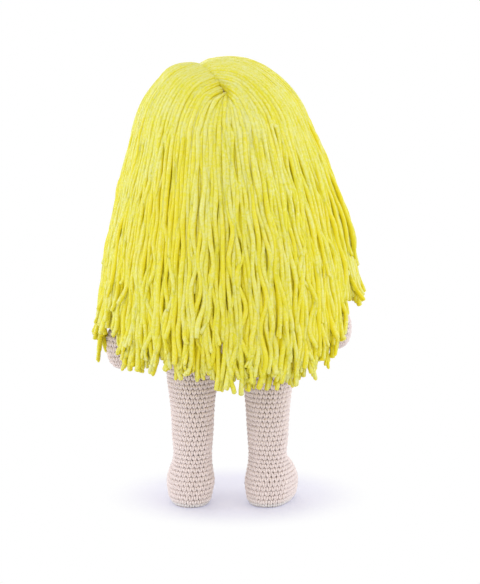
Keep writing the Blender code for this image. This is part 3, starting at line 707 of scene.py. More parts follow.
def makeLeg(sizes, side, seed):
    rings, sole = legRings(sizes, side)
    body = layStitches(rings, stitchLook, seed)
    under = layStitches(sole, stitchLook, seed + 1, hint=(0, 0, -1))
    sideGrid = groundGrid(rings, stitchLook)
    rim = sideGrid[0].copy()
    rim[:, 2] = stitchLook["groundInset"] * 0.8
    centre = rim.mean(axis=0)
    shrunk = [centre + (rim - centre) * share for share in (0.0, 0.33, 0.66, 1.0)]
    ground = gridMesh(f"{side}LegGround", np.concatenate([np.array(shrunk), sideGrid[1:]]))
    found = joinFinds(body, under)
    point = found["point"]
    start, fade = sizes["paleRow"]  # painted light: the round that stands on the floor, and the toe, are painted paler as if they catch more light
    paleRow = ease(start - point[:, 2] / fade)
    paleRow = paleRow * np.where(np.arange(len(point)) < len(body["point"]), 1, sizes["paleUnder"])
    toe = sizes["paleToe"] * ease((sizes["toeStart"] - point[:, 1]) / sizes["toeFade"])
    toe = toe * ease((sizes["footHeight"] - point[:, 2]) / sizes["toeFade"])
    piece = crochetPiece(f"{side}LegCrochet", found, ground, seed, {"pale": np.maximum(paleRow, toe)})
    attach(piece, f"{side}_leg")
    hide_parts(f"{side}_leg_shell", f"{side}_leg_filling")


for side, seed in (("left", 11), ("right", 23)):
    makeLeg(legSizes, side, seed)
print("legs crocheted")


# Arms: a ball at the shoulder, a tube bent outwards and a mitten hand

armSizes = {
    "shoulderRadius": 0.0095,
    "wristRadius": 0.0072,
    "handRadius": 0.0080,
    "spread": 0.0360,
    "drop": 0.069,
    "shoulderX": 0.033431,
    "shoulderHeight": 0.155012,
    "swing": {"left": 0, "right": -27},
    "rings": (
        (0.17, 0.07, "shoulder", 0.98), (0.42, 0.16, "shoulder", 0.95), (0.70, 0.30, "shoulder", 0.90),
        (0.88, 0.47, "shoulder", 0.84), (0.95, 0.61, "wrist", 1.00), (1.00, 0.73, "hand", 0.99),
        (1.00, 0.84, "hand", 1.00), (0.99, 0.93, "hand", 0.80), (0.98, 0.98, "hand", 0.45),
    ),
}


def armRings(sizes, side):
    sign = 1 if side == "left" else -1
    spine = [(np.zeros(3), sizes["shoulderRadius"])]
    for out, down, kind, share in sizes["rings"]:
        centre = np.array([sign * out * sizes["spread"], 0, -down * sizes["drop"]])
        spine.append((centre, share * sizes[f"{kind}Radius"]))
    centres = [centre for centre, radius in spine]
    centres.append(np.array([sign * sizes["rings"][-1][0] * sizes["spread"], 0, -sizes["drop"]]))
    first = unit(centres[1] - centres[0])

    def ring(centre, along, radius):
        across = np.array([0.0, 1.0, 0.0])
        other = np.cross(along, across)
        turn = np.linspace(0, math.tau, 48, endpoint=False)[:, None]
        return centre + radius * (across * np.cos(turn) + other * np.sin(turn))

    ball = sizes["shoulderRadius"]
    rings = [ring(-ball * first, first, 0)]
    for degrees in (78, 64, 42, 20):
        turn = math.radians(degrees)
        rings.append(ring(-ball * math.sin(turn) * first, first, ball * math.cos(turn)))
    for i, (centre, radius) in enumerate(spine):
        along = first if i == 0 else unit(centres[i + 1] - centres[i - 1])
        rings.append(ring(centre, along, radius))
    rings.append(ring(centres[-1], unit(centres[-1] - centres[-3]), 0))
    turn = np.array(Matrix.Rotation(math.radians(sizes["swing"][side]), 3, "X"))
    shift = np.array([sign * sizes["shoulderX"], dollY, sizes["shoulderHeight"]])
    return [each @ turn.T + shift for each in rings]


def makeArm(sizes, side, seed):
    rings = armRings(sizes, side)[::-1]
    found = layStitches(rings, stitchLook, seed)
    ground = gridMesh(f"{side}ArmGround", groundGrid(rings, stitchLook))
    piece = crochetPiece(f"{side}ArmCrochet", found, ground, seed)
    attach(piece, f"{side}_arm")
    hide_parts(f"{side}_arm_shell", f"{side}_arm_filling")


for side, seed in (("left", 37), ("right", 41)):
    makeArm(armSizes, side, seed)
print("arms crocheted")


# Torso: an egg with rooms for the thighs, narrowing to the neck

torsoSizes = {
    "bottom": 0.084,
    "height": 0.082,
    "halfWidth": 0.038,
    "halfDepth": 0.0234,
    "neckRadius": 0.0102,
    "neckBase": 0.166,
    "headBottom": 0.1735,
    "thighRoom": (0.0164 + 0.0007) / math.cos(math.pi / 16),
    "stitchRoom": 0.0032,
    "cutExtra": 0.0003,
    "cutFloor": 0.07,
    "cutFront": -0.06,
    "cutSides": 64,
    "paleEdge": (0.7, 1.6, 0.0035),
    "rings": (
        (0.025, 0.36, 0.34), (0.075, 0.58, 0.53), (0.150, 0.78, 0.73), (0.245, 0.92, 0.88),
        (0.350, 0.99, 0.97), (0.460, 1.00, 1.00), (0.585, 0.93, 0.98), (0.705, 0.79, 0.90),
        (0.805, 0.645, 0.78), (0.890, 0.510, 0.67), (0.950, 0.405, 0.56), (0.985, 0.325, 0.48),
    ),
}


def torsoRings(sizes):
    count = 72
    rings = [oval(0, 0, 0, sizes["bottom"], count)]
    for height, width, depth in sizes["rings"]:
        halfDepth = depth * sizes["halfDepth"]
        level = sizes["bottom"] + height * sizes["height"]
        rings.append(oval(width * sizes["halfWidth"], halfDepth, halfDepth, level, count))
    for height in (sizes["neckBase"] + 0.0019, sizes["headBottom"] + 0.006):  # the neck goes into the head
        rings.append(oval(*[sizes["neckRadius"]] * 3, height, count))
    return [ring + (0, dollY, 0) for ring in rings]


def offThigh(points, sign):  # how far points are outside the room that one thigh swings in
    centre = (sign * legSizes["hipX"], legSizes["hipBack"] + dollY, legSizes["hipHeight"])
    gap = points - centre
    gap[..., 1:] = np.maximum(gap[..., 1:], 0)
    return np.linalg.norm(gap, axis=-1) - torsoSizes["thighRoom"]


def offThighs(points):
    return np.minimum(offThigh(points, 1), offThigh(points, -1))


def openingEdge(rings, sign, margin, look):  # the closed line where that room meets the torso's surface
    grid = smoothRings(rings, look["searchStep"])[0]
    spots = np.arange(0, grid.shape[1], 0.25)
    low = spots.astype(int)
    part = (spots - low)[None, :, None]
    grid = mix(grid[:, low], grid[:, (low + 1) % grid.shape[1]], part)
    outward = outwardOf(grid)
    off = offThigh(grid, sign) - margin
    rows = []
    for axis in (0, 1):
        other, otherOut, otherOff = (np.roll(values, -1, axis=axis) for values in (grid, outward, off))
        crossed = off * otherOff < 0
        if axis == 0:
            crossed[-1] = False
        share = (off[crossed] / (off[crossed] - otherOff[crossed]))[:, None]
        rows.append(np.concatenate([
            mix(grid[crossed], other[crossed], share), mix(outward[crossed], otherOut[crossed], share),
        ], axis=1))
    rows = np.concatenate(rows)
    chain = [rows[0]]
    rows = rows[1:]
    while len(rows):
        far = np.linalg.norm(rows[:, :3] - chain[-1][:3], axis=1)
        nearest = int(far.argmin())
        if far[nearest] > look["widestGap"]:
            break
        chain.append(rows[nearest])
        rows = rows[far > look["closest"]]
    chain = np.array(chain)
    shifts = range(-3, 4)
    chain = sum(np.roll(chain, shift, axis=0) for shift in shifts) / len(shifts)
    chain = np.concatenate([chain, chain[:1]])
    travelled = np.concatenate([[0], np.cumsum(np.linalg.norm(np.diff(chain[:, :3], axis=0), axis=1))])
    want = np.linspace(0, travelled[-1], round(travelled[-1] / look["pitch"]), endpoint=False)
    chain = np.stack([np.interp(want, travelled, chain[:, i]) for i in range(6)], axis=1)
    return chain[:, :3], unit(chain[:, 3:])


def thighRoom(sizes, sign):
    radius = sizes["thighRoom"] + sizes["cutExtra"]
    hip, floor, count = legSizes["hipHeight"], sizes["cutFloor"], sizes["cutSides"]
    turn = np.linspace(0, math.pi, count // 2 + 1)
    arch = [(radius * math.cos(t), hip + radius * math.sin(t)) for t in turn]
    arch += [(-radius, floor), (radius, floor)]
    back = legSizes["hipBack"] + dollY + 0.0002
    ends = (back, sizes["cutFront"])
    grid = np.array([[(x + sign * legSizes["hipX"], y, z) for x, z in arch] for y in ends])
    swing = gridMesh("swingRoom", grid)
    rings = [oval(radius, radius, radius, floor, count)]
    for degrees in (0, 15, 30, 45, 60, 75, 85):
        turn = math.radians(degrees)
        rings.append(oval(*[radius * math.cos(turn)] * 3, hip + radius * math.sin(turn), count))
    rings.append(oval(0, 0, 0, hip + radius, count))
    shift = (sign * legSizes["hipX"], legSizes["hipBack"] + dollY, 0)
    rest = gridMesh("restRoom", np.array(rings) + shift)
    return [swing, rest]


def cutAway(target, cutters):
    for cutter in cutters:
        cut = target.modifiers.new("cut", "BOOLEAN")
        cut.operation, cut.solver, cut.object = "DIFFERENCE", "EXACT", cutter
    bpy.context.view_layer.update()
    graph = bpy.context.evaluated_depsgraph_get()
    mesh = bpy.data.meshes.new_from_object(target.evaluated_get(graph), depsgraph=graph)
    target.modifiers.clear()
    target.data = mesh
    for cutter in cutters:
        bpy.data.objects.remove(cutter)


def makeTorso(sizes, seed):
    rings = torsoRings(sizes)
    found = layStitches(rings, stitchLook, seed, keep=lambda p: offThighs(p) > sizes["stitchRoom"])
    ground = gridMesh("torsoGround", groundGrid(rings, stitchLook))
    cutAway(ground, thighRoom(sizes, 1) + thighRoom(sizes, -1))
    most, start, fade = sizes["paleEdge"]  # the ground is painted as shaded holes, except where the edging covers it, where it is painted pale
    markPoints(ground, {"relief": most * ease(start - offThighs(meshPoints(ground)) / fade)})
    piece = crochetPiece("torsoCrochet", found, ground, seed)
    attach(piece, "torso")
    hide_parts("torso_shell", "torso_filling")


makeTorso(torsoSizes, 53)
print("torso crocheted")


# Head: a ball that leans to the doll's left, with its face sewn and embroidered on

headSizes = {
    "halfWidth": 0.0475,
    "halfDepth": 0.048,
    "halfHeight": 0.050,
    "forward": 0.003,
    "lean": math.radians(4.5),
    "seat": 0.1735,
    "cheekTurn": 34,
    "cheekDrop": 20,
    "cheekSize": 0.0085,
    "patchPlace": 0.03,
    "patchReach": (0.05, 0.03),
    "patchRise": 0.0018,
    "hairLine": (-0.59, 0.05),
    "hairLow": (-0.45, 0.2),
    "hidden": 0.6,
    "rings": 25,
    "sides": 96,
    "groundStep": 0.002,
}
headAxes = np.array([headSizes["halfWidth"], headSizes["halfDepth"], headSizes["halfHeight"]])
headMiddle = np.array([0, -headSizes["forward"], headSizes["halfHeight"]])
headTurn = np.array(Matrix.Rotation(headSizes["lean"], 3, "Y"))
headShift = np.array([0, dollY, headSizes["seat"]])


def seatHead(points):
    return np.asarray(points) @ headTurn.T + headShift


def unseatHead(points):
    return ((np.asarray(points) - headShift) @ headTurn - headMiddle) / headAxes


partingRows = (
    (-0.105, 0.70), (0.060, 0.46), (0.190, 0.18), (0.215, -0.12), (0.205, -0.40), (0.190, -0.62),
)


def partingAt(share):
    places = np.linspace(0, 1, len(partingRows))
    rows = np.array(partingRows)
    return np.stack([np.interp(share, places, rows[:, 0]), np.interp(share, places, rows[:, 1])], axis=-1)


def onHead(plan, lift):
    plan = np.atleast_2d(plan)
    lift = np.broadcast_to(lift, (len(plan),))[:, None]
    up = np.sqrt(np.clip(1 - (plan**2).sum(axis=1), 0, None))
    return seatHead(np.concatenate([plan, up[:, None]], axis=1) * (headAxes + lift) + headMiddle)


def barePatch(points):  # 1 on the bit of scalp that shows at the parting's back end
    local = unseatHead(points)
    far = np.linalg.norm(local[:, :2] - partingAt(headSizes["patchPlace"]), axis=1)
    reach, fade = headSizes["patchReach"]
    return np.where(local[:, 2] > 0, 1 - ease((far - reach) / fade), 0)


def hairCover(points):  # 1 where hair lies on the head
    local = unseatHead(points)
    line, lineFade = headSizes["hairLine"]
    low, lowFade = headSizes["hairLow"]
    covered = ease((local[:, 1] - line) / lineFade) * ease((local[:, 2] - low) / lowFade)
    return covered * (1 - barePatch(points))


def facePoint(turn, drop, lift=0.0):
    turn, drop = math.radians(turn), math.radians(drop)
    out = np.array([math.sin(turn) * math.cos(drop), -math.cos(turn) * math.cos(drop), -math.sin(drop)])
    normal = unit(out / headAxes)
    return seatHead(headMiddle + out * headAxes + normal * lift), normal @ headTurn.T


def makeHead(sizes, seed):
    rings = []
    for turn in np.linspace(0, math.pi, sizes["rings"]):
        wide, deep = sizes["halfWidth"] * math.sin(turn), sizes["halfDepth"] * math.sin(turn)
        rings.append(oval(wide, deep, deep, sizes["halfHeight"] * math.cos(turn), sizes["sides"]))
    rings = [seatHead(ring + headMiddle) for ring in rings]
    found = layStitches(rings, stitchLook, seed, keep=lambda p: hairCover(p) < sizes["hidden"])
    rise = (barePatch(found["point"]) * sizes["patchRise"])[:, None]
    found["point"] = found["point"] + found["outward"] * rise
    blush = np.zeros(len(found["point"]))
    for sign in (1, -1):
        cheek = facePoint(sign * sizes["cheekTurn"], sizes["cheekDrop"])[0]
        far = np.linalg.norm(found["point"] - cheek, axis=1)
        blush = np.maximum(blush, ease(1.25 - far / sizes["cheekSize"]))
    ground = gridMesh("headGround", groundGrid(rings, stitchLook, sizes["groundStep"]))
    markPoints(ground, {"underHair": hairCover(meshPoints(ground))})
    piece = crochetPiece("headCrochet", found, ground, seed, extra={"blush": blush})
    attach(piece, "torso")
    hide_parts("head_shell", "head_filling")


makeHead(headSizes, 67)
print("head crocheted")


# Yarn tubes along paths: one tree for hair, seams and the face

def makeYarnTree():
    tree, given = startTree("yarnStrands", [
        ("Radius", "Float"), ("Sides", "Int"), ("Wave", "Float"),
        ("Wave Size", "Float"), ("Yarn", "Material"),
    ])
    number = {"data_type": "FLOAT"}
    curve = addNode(tree, "GeometryNodeMeshToCurve", None, {"Mesh": given["Geometry"]})
    thick = addNode(tree, "GeometryNodeInputNamedAttribute", number, {"Name": "thick"})
    free = addNode(tree, "GeometryNodeInputNamedAttribute", number, {"Name": "free"})
    strand = addNode(tree, "GeometryNodeInputNamedAttribute", number, {"Name": "strand"})
    place = addNode(tree, "GeometryNodeInputPosition")

    def ripple(times):
        return addNode(tree, "ShaderNodeTexNoise", {"noise_dimensions": "4D"}, {
            "Vector": place, "W": strand * 3.71, "Scale": times / given["Wave Size"], "Detail": 1.0,
        }, "Color")

    def pushed(colour, amount):
        centred = addNode(tree, "ShaderNodeVectorMath", {"operation": "SUBTRACT"}, {
            0: colour, 1: (0.5, 0.5, 0.5),
        })
        return addNode(tree, "ShaderNodeVectorMath", {"operation": "SCALE"}, {
            0: centred, "Scale": amount,
        })

    one = given["Wave"] * free
    first = pushed(ripple(1.0), one * 2)
    second = pushed(ripple(2.7), one * 0.8)
    push = addNode(tree, "ShaderNodeVectorMath", {"operation": "ADD"}, {0: first, 1: second})
    curve = addNode(tree, "GeometryNodeSetPosition", None, {"Geometry": curve, "Offset": push})
    ring = addNode(tree, "GeometryNodeCurvePrimitiveCircle", None, {
        "Resolution": given["Sides"], "Radius": given["Radius"],
    })
    circling = addNode(tree, "ShaderNodeVectorMath", {"operation": "NORMALIZE"}, {
        0: addNode(tree, "GeometryNodeInputPosition"),
    })
    ring = addNode(
        tree, "GeometryNodeStoreNamedAttribute", {"data_type": "FLOAT_VECTOR", "domain": "POINT"},
        {"Geometry": ring, "Name": "yarnSide", "Value": circling},
    )
    tube = addNode(tree, "GeometryNodeCurveToMesh", None, {
        "Curve": curve, "Profile Curve": ring, "Scale": thick, "Fill Caps": True,
    })
    tube = addNode(tree, "GeometryNodeSetShadeSmooth", None, {"Geometry": tube})
    endTree(tree, tube, given["Yarn"])
    return tree


yarnTree = makeYarnTree()


def evenly(path, step):
    gaps = np.linalg.norm(np.diff(path, axis=0), axis=1)
    travelled = np.concatenate([[0], np.cumsum(gaps)])
    want = np.linspace(0, travelled[-1], max(2, round(travelled[-1] / step)) + 1)
    return np.stack([np.interp(want, travelled, path[:, axis]) for axis in range(3)], axis=1), want


def strandPiece(name, strands, radius, sides, wave, waveSize, finish):
    points, edges = [], []
    rows = {title: [] for title in ("thick", "free", "strand", "shade", "deep", "alongYarn")}
    for number, strand in enumerate(strands):
        first = len(points)
        points.extend(strand["path"])
        count = len(strand["path"])
        edges.extend((first + i, first + i + 1) for i in range(count - 1))
        for title in rows:
            value = strand.get(title, number if title == "strand" else 0.0)
            rows[title].extend(np.broadcast_to(value, (count,)))
    points = np.array(points)
    middle = seatHead(headMiddle)
    inside = np.stack([np.full(len(points), at) for at in middle], axis=1)
    inside[:, 2] = np.minimum(points[:, 2], middle[2])
    rows["away"] = unit(points - inside)
    holder = pointHolder(f"{name}Path", points, rows, edges)
    return growMesh(name, holder, yarnTree, {
        "Radius": radius, "Sides": sides, "Wave": wave, "Wave Size": waveSize, "Yarn": finish,
    })


# Hair: strands of yarn from the parting over the head and down to a ragged hem

hairSizes = {
    "depth": 0.0084,
    "seat": 0.0009,
    "hemThickness": 0.0045,
    "curtainSide": 0.0826,
    "curtainBack": 0.062,
    "flareDrop": 0.138,
    "drop": 0.1405,
    "frontOut": 0.0068,
    "frontReach": 0.030,
    "frontSpread": 0.012,
    "frontStep": 0.006,
    "frontHem": 0.66,
    "rim": 0.966,
    "sideEdge": 96,
    "frontEdge": 128,
    "crownFan": 14,
    "sideLocks": 12,
    "frontLocks": 2,
    "hem": (
        (-1.00, 0.645), (-0.54, 0.652), (-0.49, 0.70), (-0.45, 0.79), (-0.42, 0.875), (-0.37, 0.91),
        (-0.30, 0.93), (-0.24, 0.978), (-0.15, 0.98), (-0.05, 0.975), (0.06, 0.97), (0.12, 0.935),
        (0.25, 0.925), (0.36, 0.93), (0.41, 0.92), (0.44, 0.87), (0.46, 0.80), (0.52, 0.77),
        (0.61, 0.78), (0.67, 0.85), (1.00, 0.85),
    ),
}
hairLook = {
    "radius": 0.00140,
    "sides": 7,
    "step": 0.003,
    "layers": ((58, 0.84), (57, 0.78), (62, 0.62), (64, 0.42), (68, 0.22), (62, 0.05)),
    "jitter": 0.18,
    "startJitter": 0.02,
    "clumpWidth": 7,
    "frontEach": 24,
    "frontDepths": (0.86, 0.2, 0.55),
    "frontRagged": (-0.001, 0.012),
    "capWidth": 1.08,
    "endWidth": 1.12,
    "unevenWidth": 0.10,
    "capRun": 0.07,
    "fallRun": 0.14,
    "walkWaves": (0.085, 0.047, 0.031),
    "weaveWaves": (0.075, 0.038),
    "widthWaves": (0.05, 0.022),
    "weave": 0.13,
    "tuck": 0.35,
    "paleTip": 0.016,
    "innerShade": 0.75,
    "partingClear": -0.0004,
    "partingGap": (0.01, 0.06, 0.0012),
    "rootLift": 0.50,
    "crownLift": 0.20,
    "crownTaper": 0.80,
    "lateStart": 0.30,
    "thinRight": (-76, 34, 0.42),
    "fullLeft": (86, 42, 0.0023),
    "wander": 0.0010,
    "wildShare": 0.20,
    "wildness": 1.8,
    "clump": 0.04,
    "wave": 0.0006,
    "waveSize": 0.016,
    "tipBend": 0.0020,
    "forkShare": 0.35,
    "forkWidth": 0.74,
    "forkSpread": (0.0010, 0.0022),
    "innerRagged": (0.0, 0.010),
    "ragged": (  # share of the strands up to here, and how much sooner they end, from and to
        (0.06, -0.004, 0.0), (0.62, 0.0, 0.010), (0.87, 0.010, 0.029), (1.00, 0.029, 0.058),
    ),
    "strayDepth": 0.92,
    "strays": (  # degrees round the head, how much sooner it ends, how far it swings out
        (85, -0.017, -0.0012), (88, -0.006, -0.0012), (91, 0.004, -0.0015),
        (-72, 0.036, 0.0020), (-78, 0.033, 0.0036), (-84, 0.037, 0.0022), (-66, 0.031, 0.0015),
        (-88, 0.032, 0.0015), (-61, 0.020, 0.0015), (62, 0.030, 0.0010),
    ),
    "seed": 5,
}


def crownFan(phi):
    return ease((math.radians(44) - np.abs(phi)) / math.radians(24))


def rootOf(phi):
    fan, edge = math.radians(hairSizes["crownFan"]), math.radians(hairSizes["frontEdge"])
    return np.clip((np.abs(phi) - fan) / (edge - fan), 0, None)


def capPoint(phi, share, lift, front, late):
    place = rootOf(phi)
    root = partingAt(place)
    run = np.stack([np.sin(phi), np.cos(phi)], axis=1) - root
    size = np.linalg.norm(run, axis=1)
    where, reach, gap = hairLook["partingGap"]  # the scalp shows at the parting's back end
    clear = mix(gap, hairLook["partingClear"], ease(np.abs(place - where) / reach))
    start = clear / (headAxes[0] * size)
    rim = 1.0 if front else hairSizes["rim"]
    lead = (root * run).sum(axis=1)
    rest = size**2 * (rim**2 - (root**2).sum(axis=1))
    end = (np.sqrt(lead**2 + rest) - lead) / size**2
    start = mix(start, end, late)
    return onHead(root + run * mix(start, end, np.sin(share * math.pi / 2))[:, None], lift)


def hemHeight(phi, front):
    rows = np.array(hairSizes["hem"])
    share = np.interp(phi / math.radians(hairSizes["frontEdge"]), rows[:, 0], rows[:, 1])
    if front:
        share = np.full(len(phi), hairSizes["frontHem"])
    return seatHead(headMiddle)[2] - hairSizes["drop"] * share


def curtainPlan(phi, inward, front):
    if not front:
        inward = inward * mix(1, 0.4, ease((np.abs(np.degrees(phi)) - 58) / 16))  # leaves room for the arms
        x = (hairSizes["curtainSide"] - inward) * np.sin(phi)
        return np.stack([x, (hairSizes["curtainBack"] - inward) * np.cos(phi) + dollY], axis=1)
    low, high = math.radians(hairSizes["sideEdge"]), math.radians(hairSizes["frontEdge"])
    share = (np.abs(phi) - low) / (high - low)
    out = armSizes["shoulderX"] + hairSizes["frontOut"] - hairSizes["frontSpread"] * share - inward / 2
    ahead = -hairSizes["frontReach"] - hairSizes["frontStep"] * share + inward
    return np.stack([np.copysign(out, phi), ahead + dollY], axis=1)


def lockPoint(phi, share, depth, front, late):
    where, reach, thinner = hairLook["thinRight"]
    near = 1 - ease(np.abs(np.degrees(phi) - where) / reach)
    full = 1 - thinner * near * np.sin(np.clip(share / 1.2, 0, 1) * math.pi)
    root = mix(hairLook["rootLift"], hairLook["crownLift"], crownFan(phi))
    lift = hairSizes["seat"] + depth * mix(root, 1.0, ease(share / 0.35)) * hairSizes["depth"] * full
    where, reach, rise = hairLook["fullLeft"]
    near = 1 - ease(np.abs(np.degrees(phi) - where) / reach)
    lift = lift + rise * near * np.sin(np.clip(share / 0.36, 0, 1) * math.pi)
    cap = capPoint(phi, np.minimum(share, 1), lift, front, late)
    height = mix(cap[:, 2], hemHeight(phi, front), share - 1)
    fall = (cap[:, 2] - height) / hairSizes["flareDrop"]
    spread = np.sin(np.clip(fall, 0, 1) * math.pi / 2)
    plan = curtainPlan(phi, (1 - depth) * hairSizes["hemThickness"], front)
    hang = np.stack([
        mix(cap[:, 0], plan[:, 0], spread), mix(cap[:, 1], plan[:, 1], spread), height,
    ], axis=1)
    return np.where((share <= 1)[:, None], cap, hang)


def softWave(luck, length, sizes):
    total = np.zeros(len(length))
    for size in sizes:
        total += luck.normal(0, 0.6) * np.sin(length * math.tau / size + luck.uniform(0, math.tau))
    return total


def makeStrand(luck, phi, depth, front, late, ragged, clumpAt, out=0.0):
    look = hairLook
    finish = 2 - ragged / look["fallRun"]
    share = np.concatenate([np.linspace(0, 1, 60, endpoint=False), np.linspace(1, finish, 100)])
    length = np.where(share < 1, share * look["capRun"], look["capRun"] + (share - 1) * look["fallRun"])
    loose = np.interp(share, (0, 0.6, 1, 1.5, 2), (0, 0.16, 0.5, 0.9, 1.0))
    wild = look["wildness"] if luck.uniform() < look["wildShare"] else 1
    walk = softWave(luck, length, look["walkWaves"]) * loose * wild * look["wander"] / 0.066
    pull = (clumpAt - phi) * look["clump"] * ease((share - 1.15) / 0.8)
    weave = softWave(luck, length, look["weaveWaves"]) * look["weave"] * loose
    level = np.clip(depth + weave, 0.02, 1.12)
    tuck = -look["tuck"] * depth * (1 - ease(share / 0.06))
    path = lockPoint(phi + walk + pull, share, level + tuck, front, late)
    path, along = evenly(path, look["step"])
    left = along[-1] - along
    bend = luck.normal(0, look["tipBend"], 3) * ((0.3, 0.6, 0) if front else (1, 1, 0))
    path = path + bend * ((1 - np.clip(left / 0.022, 0, 1)) ** 2)[:, None]
    path[:, :2] += unit(path[:, :2] - (0, dollY)) * (out * ease((along - 0.10) / 0.05))[:, None]
    root = mix(0.85, look["crownTaper"], float(crownFan(phi)))
    radius = np.interp(along, (0, 0.014, 0.12, 0.17), (root, 1, 1, look["endWidth"]))
    uneven = 1 + look["unevenWidth"] * softWave(luck, along, look["widthWaves"])
    radius = look["capWidth"] * radius * uneven * luck.uniform(0.90, 1.10)
    radius = radius * mix(0.92, 1.0, ease(left / 0.004))
    end = path[-1] + unit(path[-1] - path[-2]) * look["radius"] * 0.35  # a blunt round end
    path = np.concatenate([path, [end]])
    radius = np.concatenate([radius, [radius[-1] * 0.55]])
    along = np.concatenate([along, [along[-1] + 0.0005]])
    tip = ease(1 - (along[-1] - along) / look["paleTip"])  # painted light: the loose ends are paler and less shaded, as if light came through them
    shade = luck.uniform(0, 1) + 0.5 * tip
    # painted shade: the inner strands are painted darker and more golden, as if in the shade of those above
    grooveShade = look["innerShade"] * float(ease((0.9 - depth) / 0.8))
    return {
        "path": path, "thick": radius, "alongYarn": along,
        "free": np.interp(along, (0.0, 0.03, 0.09, 0.14), (0.05, 0.3, 0.8, 1.0)),
        "shade": shade, "deep": grooveShade * (1 - 0.7 * tip), "strand": luck.uniform(0, 400),
    }


def forked(luck, strand):
    count = 5  # the last points of the strand, where it is split in two
    tip = {title: value[-count:] for title, value in strand.items() if np.ndim(value)}
    push = unit(luck.normal(size=3) * (1, 0.6, 0.15)) * luck.uniform(*hairLook["forkSpread"])
    grow = np.linspace(0, 1, count)[:, None] ** 1.4
    forks = []
    for way in (1, -1):
        fork = {**strand, **tip, "thick": tip["thick"] * hairLook["forkWidth"]}
        fork["path"] = tip["path"] + push * grow * way + (0, 0, luck.uniform(-0.0015, 0.0015)) * grow
        forks.append(fork)
    body = {title: value[:-3] if np.ndim(value) else value for title, value in strand.items()}
    return [body, *forks]


def raggedness(luck, depth):
    draw = luck.uniform()
    if depth < 0.4:  # the inner strands close the hem
        return luck.uniform(*hairLook["innerRagged"])
    for share, least, most in hairLook["ragged"]:
        if draw < share:
            return luck.uniform(least, most)


def makeHair():
    luck = np.random.default_rng(hairLook["seed"])
    edge = math.radians(hairSizes["sideEdge"])
    clumpWidth = math.radians(hairLook["clumpWidth"])
    locks = {f"{i + 1:02d}": [] for i in range(hairSizes["sideLocks"])}
    for layer, (count, depth) in enumerate(hairLook["layers"]):
        for i in range(count):
            between = layer % 2  # every second layer lies in the grooves of the one above
            jitter = luck.uniform(-hairLook["jitter"], hairLook["jitter"])
            spot = (i + 0.5 + 0.5 * between + jitter) / (count + between)
            phi = mix(-edge, edge, spot)
            order = int(f"{i % 8:03b}"[::-1], 2) / 7  # every strand starts where there is room for it
            soon = luck.uniform(0, hairLook["startJitter"])
            late = hairLook["lateStart"] * order + hairLook["startJitter"] * layer
            late = mix(soon, late, crownFan(phi * 1.6))
            clumpAt = (math.floor(phi / clumpWidth) + 0.5) * clumpWidth
            strand = makeStrand(luck, phi, depth, False, late, raggedness(luck, depth), clumpAt)
            number = min(hairSizes["sideLocks"] - 1, int(spot * hairSizes["sideLocks"]))
            split = luck.uniform() < hairLook["forkShare"]
            locks[f"{number + 1:02d}"].extend(forked(luck, strand) if split else [strand])
    for degrees, ragged, out in hairLook["strays"]:
        phi = math.radians(degrees)
        number = min(hairSizes["sideLocks"] - 1, int((phi / edge + 1) / 2 * hairSizes["sideLocks"]))
        strand = makeStrand(luck, phi, hairLook["strayDepth"], False, 0.02, ragged, phi, out)
        locks[f"{number + 1:02d}"].extend(forked(luck, strand))
    for number, strands in locks.items():
        piece = strandPiece(
            f"hairLock{number}", strands, hairLook["radius"], hairLook["sides"],
            hairLook["wave"], hairLook["waveSize"], hairFinish,
        )
        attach(piece, "torso")
        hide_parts(f"hair_lock_{number}")
    low, high = hairSizes["sideEdge"], hairSizes["frontEdge"]
    for side, sign in (("right", -1), ("left", 1)):
        for lock in range(hairSizes["frontLocks"]):
            strands = []
            near = mix(low, high, lock / hairSizes["frontLocks"])
            far = mix(low, high, (lock + 1) / hairSizes["frontLocks"])
            for i in range(hairLook["frontEach"]):
                spot = (i + 0.5) / hairLook["frontEach"]
                phi = sign * math.radians(mix(near, far, spot))
                depth = hairLook["frontDepths"][i % 3]
                clumpAt = sign * math.radians((near + far) / 2)
                ragged = luck.uniform(*hairLook["frontRagged"])
                strands.append(makeStrand(luck, phi, depth, True, 0.01, ragged, clumpAt))
            piece = strandPiece(
                f"{side}FrontLock{lock + 1}", strands, hairLook["radius"] * 0.95, hairLook["sides"],
                hairLook["wave"] * 0.6, hairLook["waveSize"], hairFinish,
            )
            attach(piece, "torso")
            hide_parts(f"{side}_front_lock_{lock + 1}")


makeHair()
print("hair hung")


# Parting: short stitches of hair yarn that hold the strands along their line

partingLook = {
    "stitches": 30,
    "ends": (0.15, 0.98),
    "lift": 0.0018,
    "halfLength": 0.0027,
    "skew": 0.0006,
    "rise": 0.0012,
    "dip": 0.0030,
    "yarn": 0.00105,
    "wave": 0.0004,
    "seed": 77,
}


def makeParting(look):
    share = np.linspace(*look["ends"], look["stitches"])
    here = onHead(partingAt(share), look["lift"])
    along = unit(np.gradient(here, axis=0))
    out = unit(here - seatHead(headMiddle))
    side = unit(np.cross(along, out))
    strands = []
    luck = np.random.default_rng(look["seed"])
    for i in range(len(share)):
        turn = np.linspace(-1, 1, 7)[:, None]
        skew = luck.uniform(-look["skew"], look["skew"])
        path = here[i] + side[i] * turn * look["halfLength"] + along[i] * (turn * skew)
        path = path + out[i] * (look["rise"] - look["dip"] * turn**2)
        # the parting's stitches get a little painted shade
        strands.append({
            "path": path, "thick": np.array([0.7, 0.9, 1, 1, 1, 0.9, 0.7]), "free": 0.1,
            "alongYarn": np.linspace(0, 0.006, 7), "shade": luck.uniform(0.2, 1), "deep": 0.15,
        })
    piece = strandPiece("partingStitches", strands, look["yarn"], 7, look["wave"], 0.01, hairFinish)
    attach(piece, "torso")
    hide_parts("parting_seam")


makeParting(partingLook)


# Edging: two rounds of slanted stitches that finish the torso's openings for the thighs

